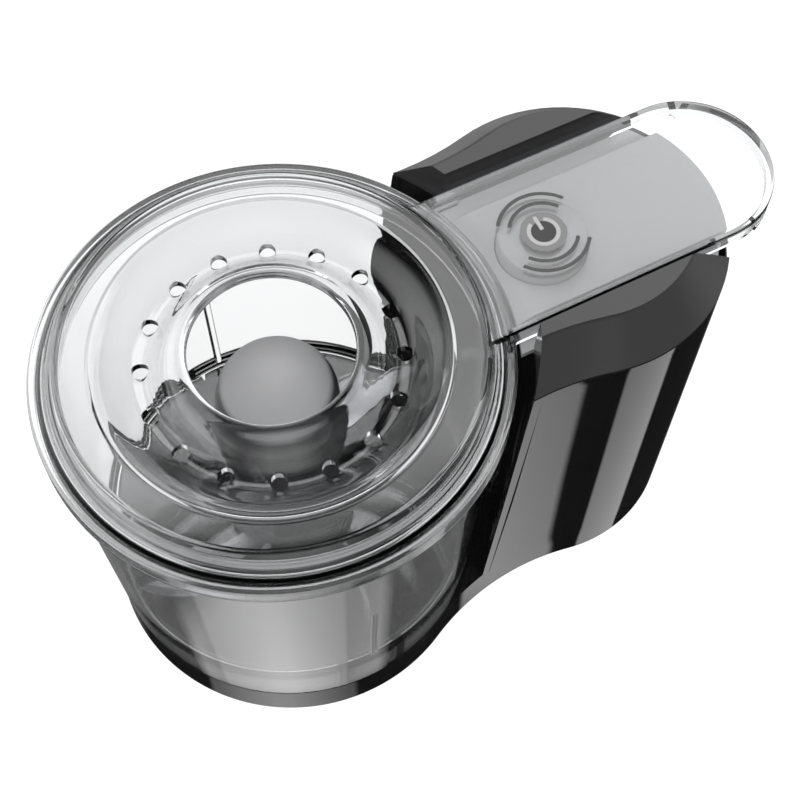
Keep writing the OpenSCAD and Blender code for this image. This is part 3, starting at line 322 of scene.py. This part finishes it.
def round_edges(obj, width, angle=28, segments=3):
    """Bevel, width in millimetres, on the edges that bend more than the angle."""
    bevel = obj.modifiers.new("rounded_edges", "BEVEL")
    bevel.width = width / 1000
    bevel.segments = segments
    bevel.limit_method = "ANGLE"
    bevel.angle_limit = math.radians(angle)


def smooth(mesh, angle):
    """Smooth shading with sharp edges over the angle."""
    mesh.polygons.foreach_set("use_smooth", [True] * len(mesh.polygons))
    mesh.set_sharp_from_angle(angle=math.radians(angle))


def bake(obj):
    """Makes the modifiers' result the object's own mesh."""
    bpy.context.view_layer.update()
    shape = obj.evaluated_get(bpy.context.evaluated_depsgraph_get())
    mesh = bpy.data.meshes.new_from_object(shape)
    obj.modifiers.clear()
    obj.data = mesh


def settle(obj, angle=38):
    """Bakes a finished piece and smooths it up to the angle."""
    bake(obj)
    smooth(obj.data, angle)
    normals = obj.modifiers.new("even_normals", "WEIGHTED_NORMAL")
    normals.keep_sharp = True
    normals.weight = 60


def cut(obj, tool, operation="DIFFERENCE"):
    """Boolean with a tool object, which is removed."""
    step = obj.modifiers.new("cut", "BOOLEAN")
    step.object = tool
    step.operation = operation
    step.solver = "EXACT"
    bake(obj)
    bpy.data.objects.remove(tool)


def turned(bm, profile, steps=192, axis=(0, 0, 1), centre=(0, 0, 0)):
    """Closed profile of (radius, height) spun about an axis through centre."""
    axis = Vector(axis)
    side = Vector((1, 0, 0)) if abs(axis.x) < 0.5 else Vector((0, 1, 0))
    centre = Vector(centre)
    made = [bm.verts.new(centre + side * r + axis * h) for r, h in profile]
    edges = [bm.edges.new((made[i - 1], made[i])) for i in range(len(made))
             if profile[i - 1][0] or profile[i][0]]
    bmesh.ops.spin(bm, geom=made + edges, cent=centre, axis=axis, dvec=(0, 0, 0),
                   angle=math.tau, steps=steps, use_merge=True)
    bmesh.ops.dissolve_degenerate(bm, dist=1e-5, edges=bm.edges[:])


def rounded(corners):
    """Profile through corners (x, y, radius), rounded by arcs that take under half of a side."""
    steps, longest = 5, 0.49
    made = []
    for i, (x, y, r) in enumerate(corners):
        here = Vector((x, y))
        if not r:
            made.append((x, y))
            continue
        a = Vector(corners[i - 1][:2]) - here
        b = Vector(corners[(i + 1) % len(corners)][:2]) - here
        half = a.angle(b) / 2
        reach = min(r / math.tan(half), a.length * longest, b.length * longest)
        heart = here + (a.normalized() + b.normalized()).normalized() * reach / math.cos(half)
        start = here + a.normalized() * reach - heart
        sweep = start.angle_signed(here + b.normalized() * reach - heart)
        for k in range(steps + 1):
            p = start.copy()
            p.rotate(Matrix.Rotation(-sweep * k / steps, 2))
            made.append(tuple(heart + p))
    return made


def around(radius, angle, z=0.0, x=0.0, y=0.0):
    """Point at an angle on a circle about (x, y), at height z."""
    return Vector((x + radius * math.cos(angle), y + radius * math.sin(angle), z))


def across(points):
    """The points mirrored over the middle plane, in reverse order."""
    return [Vector((p.x, -p.y, p.z)) for p in reversed(points)]


platform_r, platform_top = 57.8, 16.3
tower_h = 120
hollow_r = 81
platform_steps, waist_steps, side_steps, back_steps = 64, 8, 24, 44


def tower_curves(z):
    """Back circle and hollow side circle of the tower at height z; it narrows and leans back."""
    k = min(1, max(0, z / tower_h))
    back_r, back_x, waist_y = 45.4 - 1.4 * k, 87.2 + 2.9 * k, 42.954 - 2.6 * k
    side_y = waist_y + hollow_r
    side_x = back_x - math.sqrt((back_r + hollow_r) ** 2 - side_y ** 2)
    return back_r, back_x, side_x, side_y


def front_radius(z):
    """Radius of the tower's hollow front, which leans away from the bowl."""
    foot, lean = 62.5, 0.0545
    return foot + lean * z


def side_wall(z, inset, from_bowl=True):
    """Wall on the +y side from the platform's edge, or the tower's front edge, to the back."""
    back_r, back_x, side_x, side_y = tower_curves(z)
    reach = hollow_r + inset
    far = math.hypot(side_x, side_y)
    begin = math.atan2(-side_y, -side_x)
    front = begin + math.acos(
        (far ** 2 + reach ** 2 - front_radius(z) ** 2) / (2 * far * reach))
    end = math.atan2(-side_y, back_x - side_x)
    turn = [front + (end - front) * i / side_steps for i in range(side_steps + 1)]
    if from_bowl:
        turn = [begin + (front - begin) * i / waist_steps for i in range(waist_steps)] + turn
    points = [around(reach, a, z, side_x, side_y) for a in turn]
    open_angle = math.atan2(side_y, side_x - back_x)
    return points + [around(back_r - inset, open_angle * (1 - i / back_steps), z, back_x)
                     for i in range(1, back_steps + 1)]


def foot_outline(z, inset):
    """Platform, waist and tower as one closed outline."""
    draft, draft_from, draft_height = 0.3, 2.2, 13.5
    wall = side_wall(z, inset)
    radius = platform_r - draft * min(1, max(0, (z - draft_from) / draft_height)) - inset
    stop = math.atan2(wall[0].y, wall[0].x)
    gap = math.hypot(wall[0].x, wall[0].y) - radius
    blend_steps = 12
    blend_from = platform_steps - blend_steps
    half = [around(radius + gap * max(0, (i - blend_from) / blend_steps) ** 2,
                   math.pi + (stop - math.pi) * i / platform_steps, z)
            for i in range(platform_steps)] + wall
    return half + across(half[1:-1])


shell = bmesh.new()
rim = wire(shell, foot_outline(1.2, 0.6))
for z in (2.2, 9, platform_top):
    rim = grow(shell, rim, foot_outline(z, 0))
number = shell.verts.layers.int["number"]
count = len(rim)
first = platform_steps + waist_steps
tower_side = [e for e in rim if all(first <= v[number] <= count - first for v in e.verts)]
shelf_side = [e for e in rim if e not in tower_side]
corner = {v[number]: v for e in rim for v in e.verts}


def front_arc(z, ends):
    """Points on the hollow front from one front edge of the tower to the other."""
    steps = 24
    spread = math.atan2(ends.y, ends.x)
    return [around(front_radius(z), spread * (1 - i / steps), z) for i in range(1, 2 * steps)]


arc_number = 1000
arc = [shell.verts.new(p) for p in front_arc(platform_top, corner[first].co)]
for i, v in enumerate(arc):
    v[number] = arc_number + i
chain = [corner[first], *arc, corner[count - first]]
front = [shell.edges.new(pair) for pair in zip(chain, chain[1:])]
plateau_r, plateau_rise, hub_hole_r = 54.6, 14.3, 7
groove_r, groove_half = 52, 1.85
groove_angles = (80.5, 99.5, 260.5, 279.5)
wide = math.degrees(math.asin(groove_half / plateau_r))
deep = math.degrees(math.asin(groove_half / groove_r))
plateau = [(a, plateau_r) for a in range(0, 360, 2)
           if all(abs(a - b) > 2.4 for b in groove_angles)]
for a in groove_angles:
    plateau += [(a - wide, plateau_r), (a - deep, groove_r),
                (a + deep, groove_r), (a + wide, plateau_r)]
plateau.sort()
plateau = [around(r, math.radians(a), platform_top) for a, r in plateau]
raised = wire(shell, plateau)
bmesh.ops.bridge_loops(shell, edges=shelf_side + front + raised)
raised = grow(shell, raised, [p + Vector((0, 0, plateau_rise)) for p in plateau])
hole_steps = 64
hub_hole = wire(shell, [around(hub_hole_r, math.tau * i / hole_steps, platform_top + plateau_rise)
                        for i in range(hole_steps)])
bmesh.ops.bridge_loops(shell, edges=raised + hub_hole)
rising = tower_side + front
channel_half, channel_floor, flattened = 26.35, 116, 0.15
for z, inset in ((60, 0), (116.4, 0), (119.65, 0), (tower_h, 0.35)):
    wall = side_wall(z, inset, from_bowl=False)
    wall += across(wall[:-1])
    points = {first + i: p for i, p in enumerate(wall)}
    points |= {arc_number + i: p for i, p in enumerate(front_arc(z, wall[0]))}
    if z > channel_floor:
        # The rim is notched where the channel for the lid's arm passes over the front and back
        for p in points.values():
            if abs(p.y) < channel_half:
                p.z = channel_floor + (z - channel_floor) * flattened
    rising = grow(shell, rising, points)
gloss_black = finish_of("gloss_black", (0.003, 0.003, 0.0032), 0.25, (0.02, 0.05),
                        moulded, 260.0, 1e-6)
housing = make_object(shell, "housing_shell", gloss_black)
wall = housing.modifiers.new("wall", "SOLIDIFY")
wall.thickness = 0.0024
wall.offset = -1
round_edges(housing, 0.45)
inlet = bmesh.new()
inlet_z = 9.6
turned(inlet, [(0, 118), (4, 118), (4, 140), (0, 140)], 64, (1, 0, 0), (0, 0, inlet_z))
cut(housing, make_object(inlet, "inlet_hole", None))
settle(housing)
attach(housing, "base")
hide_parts("base_housing")

# Spindle tube and cord inlet: part of the housing moulding, a thin tube that stands in the middle
# of the platform and carries the spindle's bushes, and a collar for the cord inside the back wall.
tube = bmesh.new()
turned(tube, rounded([(6.4, 18, 0.2), (9.1, 18, 0.2), (9.1, 31.4, 0.6), (7.5, 32.4, 1.5),
                      (7.5, 75, 0.3), (6.4, 75, 0.3)]), 96)
turned(tube, rounded([(4, 123.5, 0.4), (6, 123.5, 0.4), (6, 131.6, 0.2), (4, 131.6, 0.2)]), 64,
       (1, 0, 0), (0, 0, inlet_z))
tube = make_object(tube, "spindle_tube", gloss_black)
settle(tube)
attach(tube, "base")


# Cover, feet and screws: a flat cover of matt black ABS with vents closes the housing from below
# on seven plated screws, and four soft rubber feet are pressed into it. These keep the CAD shapes:
# a small node tree welds their triangles and smooths the round faces.
weld = bpy.data.node_groups.new("weld_and_smooth", "GeometryNodeTree")
for direction in ("INPUT", "OUTPUT"):
    weld.interface.new_socket(name="Geometry", in_out=direction, socket_type="NodeSocketGeometry")
merge = add(weld, "GeometryNodeMergeByDistance", in_Distance=1e-6)
all_smooth = add(weld, "GeometryNodeSetShadeSmooth", domain="FACE", in_Shade_Smooth=True)
corners = add(weld, "GeometryNodeSetShadeSmooth", domain="EDGE", in_Shade_Smooth=False)
bend = add(weld, "GeometryNodeInputMeshEdgeAngle")
sharp = add(weld, "FunctionNodeCompare", operation="GREATER_THAN", in_1=math.radians(28))
weld.links.new(weld.nodes.new("NodeGroupInput").outputs[0], merge.inputs["Geometry"])
weld.links.new(merge.outputs[0], all_smooth.inputs["Geometry"])
weld.links.new(all_smooth.outputs[0], corners.inputs["Geometry"])
weld.links.new(bend.outputs["Unsigned Angle"], sharp.inputs[0])
weld.links.new(sharp.outputs[0], corners.inputs["Selection"])
weld.links.new(corners.outputs[0], weld.nodes.new("NodeGroupOutput").inputs[0])


def dress(names, finish, edge=0.0):
    """Gives CAD nodes their finish, smooth round faces and, where edge is set, rounded edges."""
    for name in names.split():
        nodes[name].modifiers.new("weld", "NODES").node_group = weld
        if edge:
            round_edges(nodes[name], edge, 35, 2)
            nodes[name].modifiers.new("even_normals", "WEIGHTED_NORMAL").keep_sharp = True
        for place in nodes[name].material_slots:
            place.material = finish


matte_black = finish_of("matte_black", (0.03, 0.03, 0.032), 0.2, (0.5, 0.62),
                        moulded, 1400.0, 2e-5)
dress("base_cover", matte_black)
rubber = finish_of("rubber", (0.02, 0.02, 0.02), 0.35, (0.75, 0.9), moulded, 2200.0, 3e-5)
dress("rubber_feet", rubber)

worked, inside, outside = skin_group("worked_metal")
along = 0.06
parts = add(worked, "ShaderNodeSeparateXYZ")
stretch = add(worked, "ShaderNodeCombineXYZ")
worked.links.new(inside.outputs["Place"], parts.inputs[0])
worked.links.new(math_node(worked, "MULTIPLY", parts.outputs[0], along), stretch.inputs[0])
worked.links.new(math_node(worked, "MULTIPLY", parts.outputs[1], along), stretch.inputs[1])
worked.links.new(parts.outputs[2], stretch.inputs[2])
marks = add(worked, "ShaderNodeTexNoise", in_Detail=4.0, in_Roughness=0.7)
stain = add(worked, "ShaderNodeTexNoise", in_Scale=60.0, in_Detail=5.0, in_Roughness=0.6)
worked.links.new(stretch.outputs[0], marks.inputs["Vector"])
worked.links.new(inside.outputs["Place"], stain.inputs["Vector"])
worked.links.new(inside.outputs["Scale"], marks.inputs["Scale"])
worked.links.new(marks.outputs["Fac"], outside.inputs["Height"])
worked.links.new(blend(worked, marks.outputs["Fac"], 0.5, stain.outputs["Fac"], 0.5),
                 outside.inputs["Haze"])
zinc = finish_of("zinc", (0.62, 0.63, 0.66), 0.12, (0.22, 0.4), worked, 2500.0, 4e-6, 1.0)
dress("cover_screws cap_screws carrier_screws board_screws motor_plate_screws motor_bolts", zinc)


# Belt drive: the motor's small toothed pulley turns the large acetal one through a toothed rubber
# belt. The steel spindle runs in two bronze bushes, with a rubber seal on top, and ends in a
# hexagonal driver.
natural_white = finish_of("white_plastic", (0.72, 0.71, 0.67), 0.05, (0.34, 0.46),
                          moulded, 900.0, 8e-6)
dress("driven_pulley motor_pulley drive_coupler cooling_fan spindle_washer", natural_white)
belt_rubber = finish_of("belt_rubber", (0.015, 0.015, 0.015), 0.4, (0.6, 0.8),
                        worked, 3000.0, 3e-5)
dress("drive_belt", belt_rubber)
steel = finish_of("steel", (0.55, 0.55, 0.57), 0.1, (0.18, 0.34), worked, 5200.0, 3e-6, 1.0)
dress("spindle_shaft motor_shaft", steel)
bronze = finish_of("bronze", (0.48, 0.34, 0.16), 0.2, (0.35, 0.5), worked, 3000.0, 6e-6, 1.0)
dress("spindle_bushes motor_bushes", bronze)
dress("spindle_seal", rubber)


# Motor: a universal motor stands on a die-cast plate. Its stack of thin steel sheets carries two
# copper field coils; in it a wound armature turns, with its commutator between two brushes.
aluminium = finish_of("aluminium", (0.6, 0.61, 0.63), 0.14, (0.4, 0.58),
                      moulded, 1500.0, 2.5e-5, 1.0)
dress("motor_plate motor_bridge", aluminium, 0.3)
lamination = finish_of("lamination", (0.25, 0.25, 0.26), 0.3, (0.35, 0.55),
                       worked, 9000.0, 4e-5, 0.9)
dress("motor_stator armature_core", lamination)
copper = finish_of("copper", (0.55, 0.24, 0.1), 0.25, (0.2, 0.38), worked, 3600.0, 1.2e-4, 0.85)
dress("field_coils armature_winding", copper)
copper_bars = finish_of("copper_bars", (0.6, 0.28, 0.13), 0.15, (0.15, 0.3),
                        worked, 6000.0, 4e-6, 1.0)
dress("commutator", copper_bars)
brass = finish_of("brass", (0.6, 0.44, 0.16), 0.12, (0.22, 0.36), worked, 2200.0, 5e-6, 1.0)
dress("brush_holders switch_terminals", brass)
carbon = finish_of("carbon", (0.02, 0.02, 0.021), 0.5, (0.5, 0.7), moulded, 2600.0, 2e-5)
dress("carbon_brushes", carbon)


# Cap: a satin dark grey ABS moulding screwed on the tower, with the two shoulders and the channel
# between them where the lid's arm lies.
satin_grey = finish_of("satin_grey", (0.02, 0.02, 0.021), 0.12, (0.14, 0.2),
                       moulded, 1100.0, 8e-7)
dress("top_cap", satin_grey, 0.35)


# Switch: the panel and the round button are moulded in mid grey ABS. Under them a carrier holds the
# snap switch with its lever, plunger and brass terminals, and a spring lifts the button.
panel_grey = finish_of("panel_grey", (0.248, 0.248, 0.252), 0.03, (0.2, 0.26),
                       moulded, 1100.0, 8e-7)
dress("switch_panel", panel_grey, 0.3)
dress("switch_button", panel_grey)
dress("switch_carrier switch_body", matte_black)
dress("switch_plunger", natural_white)
dress("switch_lever", steel)

# Return spring: wound from steel wire, it stands on the carrier under the button's flange.
wound = bmesh.new()
wound.from_mesh(nodes["button_spring"].data)
bmesh.ops.remove_doubles(wound, verts=wound.verts[:], dist=1e-7)
wire_mesh = bpy.data.meshes.new("return_spring")
wound.to_mesh(wire_mesh)
wound.free()
smooth(wire_mesh, 50)
wire_mesh.materials.clear()
wire_mesh.materials.append(steel)
spring = bpy.data.objects.new("return_spring", wire_mesh)
scene.collection.objects.link(spring)
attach(spring, "base")
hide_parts("button_spring")
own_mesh(spring)

# Circuit board: a green board screwed to four posts under the deck of the tower, with a dipped
# capacitor and two small parts soldered on it.
board_green = finish_of("board_green", (0.05, 0.16, 0.07), 0.2, (0.3, 0.42), moulded, 700.0, 1e-5)
dress("circuit_board", board_green)
capacitor = finish_of("capacitor", (0.5, 0.19, 0.05), 0.15, (0.28, 0.4), moulded, 500.0, 2e-5)
dress("board_parts", capacitor, 0.4)


# Bowl: one clear SAN moulding with a drafted round wall, a beaded rim, a thin floor and a hollow
# post in the middle. Two rounded ribs stand inside it, and four lugs under the floor stand in the
# platform.
def clear_finish(name, tint):
    """Clear plastic: polished, with the faint haze of handling on it."""
    made, skin, _ = surface(name, moulded, 900.0, tint, [min(1, c * 1.02) for c in tint],
                            (0.35, 0.7), (0.005, 0.03))
    skin.inputs["Transmission Weight"].default_value = 1
    skin.inputs["IOR"].default_value = 1.57
    return made


clear_bowl = clear_finish("clear_bowl", (0.96, 0.965, 0.97))
bowl_foot, bowl_floor, bowl_brim, bowl_top = 16.6, 33.4, 116.2, 119.7
bowl_draft, bowl_thick = 0.037, 2.2


def bowl_wall(z):
    """Outer radius of the bowl at height z."""
    return 57.5 + bowl_draft * (z - bowl_foot)


rim = bowl_wall(bowl_brim)
cup = bmesh.new()
turned(cup, rounded([
    (55.3, bowl_foot, 0.2), (57.5, bowl_foot, 0.5), (rim, bowl_brim, 1.5), (rim + 0.8, 116.9, 0.5),
    (rim + 0.8, bowl_top, 0.6), (rim - bowl_thick, bowl_top, 0.7),
    (bowl_wall(40) - bowl_thick, 40, 2), (bowl_wall(bowl_floor) - bowl_thick, bowl_floor, 4.6),
    (10.2, bowl_floor, 2), (10.2, 78, 0.7), (8, 78, 0.3), (8, 31.2, 0.5), (55.3, 31.2, 1.5)]), 256)
bowl = make_object(cup, "clear_bowl_moulding", clear_bowl)
ribs = bmesh.new()
for side in (1, -1):
    foot = Vector((0, side * (bowl_wall(bowl_floor) - 2.55), 32.6))
    lean = Vector((0, side * bowl_draft, 1)).normalized()
    turned(ribs, [(0, 0), (1.2, 0), (1.2, 41), (1.11, 41.46), (0.85, 41.85), (0.46, 42.11),
                  (0, 42.2)], 24, lean, foot)
lug_middle, lug_size = 55.1, Vector((2.4, 2.9, 14.6))
lug_inner = lug_middle - lug_size.x / 2
for angle in (80.5, 99.5, -80.5, -99.5):
    turn = Matrix.Rotation(math.radians(angle), 4, "Z")
    lug = bmesh.ops.create_cube(ribs, size=1, matrix=turn @ Matrix.LocRotScale(
        (lug_middle, 0, 24.5), None, lug_size))["verts"]
    inner_edges = {e for v in lug for e in v.link_edges
                   if all(abs((turn.inverted() @ end.co).x - lug_inner) < 0.01 for end in e.verts)}
    bmesh.ops.bevel(ribs, geom=list(inner_edges), offset=1.2, segments=5, profile=0.5,
                    affect="EDGES", material=-1, clamp_overlap=True)
cut(bowl, make_object(ribs, "ribs", None), "UNION")
settle(bowl, 30)
bowl.visible_shadow = False
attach(bowl, "bowl")
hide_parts("bowl")


# Blade set: a dark satin hub slips over the post, with a dome moulded apart and snapped on it. Two
# sickle blades of ground stainless steel are held in the hub, one low and one halfway up.
hub = bmesh.new()
turned(hub, rounded([
    (10.6, 35, 0.3), (18.4, 35, 0.8), (18.6, 36, 0.5), (18.6, 43, 1.2), (17.2, 46, 1.5),
    (17.2, 96.8, 0.3), (15.6, 96.8, 0), (15.6, 65.2, 0.3), (12.2, 65.2, 0.3), (12.2, 80.6, 0.3),
    (9.8, 81.6, 0.3), (9.8, 96.8, 0), (6.6, 96.8, 0), (6.6, 78.4, 0.2), (10.6, 78.4, 0.2)]), 128)
sleeve_grey = finish_of("sleeve_grey", (0.02, 0.02, 0.021), 0.15, (0.1, 0.16),
                        moulded, 1500.0, 3e-6)
hub = make_object(hub, "blade_hub_column", sleeve_grey)
settle(hub)
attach(hub, "blades")
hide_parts("blade_hub")
# About halfway up, the dome turns from a painted shade in the dark satin of the column to a lighter
# matt grey; the painted shade fades softly upward over a short rise
dome_painted_shade, satin_rough = (0.02, 0.02, 0.021, 1), 0.13
dark_below, grey_above = 0.1078, 0.1104
hub_grey = finish_of("hub_grey", (0.22, 0.22, 0.224), 0.06, (0.42, 0.54), moulded, 1500.0, 1.2e-5)
tree = hub_grey.node_tree
skin = tree.nodes["Principled BSDF"]
where = add(tree, "ShaderNodeTexCoord")
height = add(tree, "ShaderNodeSeparateXYZ")
tree.links.new(where.outputs["Object"], height.inputs[0])
# Painted shade: below this rise the dome takes the dark satin colour and roughness, fading into the
# grey above it
top = add(tree, "ShaderNodeMapRange", in_1=dark_below, in_2=grey_above)
tree.links.new(height.outputs[2], top.inputs[0])
tone = add(tree, "ShaderNodeMix", data_type="RGBA", in_6=dome_painted_shade)
tree.links.new(skin.inputs["Base Color"].links[0].from_socket, tone.inputs[7])
tree.links.new(top.outputs[0], tone.inputs[0])
tree.links.new(tone.outputs[2], skin.inputs["Base Color"])
polish = add(tree, "ShaderNodeMix", in_2=satin_rough)
tree.links.new(skin.inputs["Roughness"].links[0].from_socket, polish.inputs[3])
tree.links.new(top.outputs[0], polish.inputs[0])
tree.links.new(polish.outputs[0], skin.inputs["Roughness"])
dome = bmesh.new()
dome_base, outer_r, inner_r = 101, 17.2, 15.2
outer = [(outer_r * math.cos(a), dome_base + outer_r * math.sin(a))
         for a in (math.pi / 2 * i / 24 for i in range(24))]
inner = [(inner_r * math.cos(a), dome_base + inner_r * math.sin(a))
         for a in (math.pi / 2 * i / 16 for i in range(15, -1, -1))]
turned(dome, [(inner_r, 97), (16.9, 97), (outer_r, 97.3), *outer, (0, dome_base + outer_r),
              (0, dome_base + inner_r), *inner], 128)
dome = make_object(dome, "hub_dome", hub_grey)
settle(dome)
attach(dome, "blades")
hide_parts("hub_cap")
blade_steel = finish_of("blade_steel", (0.6, 0.6, 0.62), 0.06, (0.16, 0.3),
                        worked, 900.0, 3e-6, 1.0)
dress("lower_blade upper_blade", blade_steel)


# Lid: one clear SAN moulding with a feed hole, a gutter round it with sixteen drip holes, a flat
# ring and a skirt over the bowl's rim. Its long arm lies in the channel and ends in a round tab
# behind the tower.
clear_lid = clear_finish("clear_lid", (0.91, 0.92, 0.925))


def wave(start, end):
    """Soft S between two points of a profile."""
    steps = 10
    return [(start[0] + (end[0] - start[0]) * i / steps,
             start[1] + (end[1] - start[1]) * (1 - math.cos(math.pi * i / steps)) / 2)
            for i in range(1, steps + 1)]


gutter_r = 34.7
gutter, gutter_below = (gutter_r, 121.2), (gutter_r, 119)
ring = bmesh.new()
turned(ring, [
    (22, 127.8), (22.05, 128.7), (22.3, 129.3), (22.7, 129.7), (23.1, 129.8), (23.6, 129.8),
    (24, 129.6), *wave((24, 129.6), gutter), *wave(gutter, (46.4, 128.3)),
    *rounded([(47, 128.5, 0), (48, 128.2, 1), (56.2, 128.2, 2), (58.4, 126, 1.5),
              (60.4, 122.6, 1.5), (61.6, 122.1, 1), (63.4, 122, 0.8), (64.2, 121.2, 0.6),
              (64.2, 115.1, 0.4), (62.5, 115.1, 0.3), (62.4, 119.85, 0.2), (58, 119.85, 0.2),
              (58, 115.7, 0.5), (56.4, 115.7, 0.5), (56.4, 124.6, 1), (55, 126.2, 1)]),
    (48.6, 126.2), *wave((48.6, 126.2), gutter_below), *wave(gutter_below, (23, 127))], 256)
lid = make_object(ring, "clear_lid_moulding", clear_lid)
arm_top, arm_under, tab_x = 128, 125.2, 127.2


def arm_low(x):
    """Height of the lower edge of the arm's side wall."""
    over_lid, over_gap, tab_from = 57.9, 67, 136
    if x < over_lid:
        return arm_under
    return 120.4 if x < over_gap or x > tab_from else 122.2


def arm_outline(inset, height):
    """Outline of the arm, with its round end, at a height or a height that changes along it."""
    half = 23.8 - inset
    inside_lid, lid_steps, tab_steps = 57.1, 8, 32
    start = math.asin(half / inside_lid)
    side = [around(inside_lid, start * i / lid_steps) for i in range(lid_steps + 1)]
    side += [Vector((x, half, 0)) for x in (57.7, 58.1, 66.9, 67.1, 80, 95, 110, tab_x)]
    side += [around(half, math.pi / 2 * (1 - i / tab_steps), 0, tab_x)
             for i in range(1, tab_steps + 1)]
    return [Vector((p.x, p.y, height(p.x) if callable(height) else height))
            for p in side + across(side[1:-1])]


arm = bmesh.new()
low_outer = wire(arm, arm_outline(0, arm_low))
edge = low_outer
for inset, height in ((0, 127.3), (0.2, 127.8), (0.7, arm_top)):
    edge = grow(arm, edge, arm_outline(inset, height))
bmesh.ops.contextual_create(arm, geom=edge)
edge = grow(arm, low_outer, arm_outline(1.95, arm_low))
edge = grow(arm, edge, arm_outline(2, arm_under))
bmesh.ops.contextual_create(arm, geom=edge)
bmesh.ops.remove_doubles(arm, verts=arm.verts[:], dist=1e-4)
cut(lid, make_object(arm, "arm", None), "UNION")
drips = bmesh.new()
drip_count, drip_r = 16, 2.3
for i in range(drip_count):
    turned(drips, [(0, 110), (drip_r, 110), (drip_r, 135), (0, 135)], 32,
           centre=around(gutter_r, math.tau * i / drip_count))
cut(lid, make_object(drips, "drips", None))
settle(lid, 30)
lid.visible_shadow = False
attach(lid, "lid")
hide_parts("lid", "lid_arm")

# Power mark: the plain switch symbol with two pairs of arcs, pad-printed in grey on the top of the
# arm over the button, a few hundredths of a millimetre thick.
button_x = 81


def band(bm, inner, outer, start, end):
    """Flat arc, printed on the arm's top, between two radii and two angles in degrees."""
    start, end = math.radians(start), math.radians(end)
    made = [bm.verts.new(around(r, start, arm_top + 0.02, button_x)) for r in (inner, outer)]
    bmesh.ops.spin(bm, geom=[*made, bm.edges.new(made)], cent=(button_x, 0, 0), axis=(0, 0, 1),
                   angle=end - start, steps=48)


arc_pairs = [(inner, inner + 1.1, start, start + 110)
             for inner in (8.8, 11.9) for start in (35, -145)]
for name, tone, height, arcs in (
        ("power_disc", 0.14, 0.0, [(0.05, 6.4, 0, 360)]),
        ("power_arcs", 0.05, 0.0, arc_pairs),
        ("power_heart", 0.03, 0.02, [(0.05, 3.4, 0, 360)]),
        ("power_symbol", 0.3, 0.04, [(3.5, 4.6, 118, 422)])):
    print_bm = bmesh.new()
    for arc in arcs:
        band(print_bm, *arc)
    if name == "power_symbol":
        bmesh.ops.create_cube(print_bm, size=1, matrix=Matrix.LocRotScale(
            (button_x, 3, arm_top + 0.01), None, (1.1, 4.6, 0.03)))
    bmesh.ops.translate(print_bm, verts=print_bm.verts[:], vec=(0, 0, height))
    ink = finish_of(name, (tone, tone, tone), 0.08, (0.4, 0.55), moulded, 3000.0, 2e-6)
    mark = make_object(print_bm, name, ink)
    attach(mark, "lid")
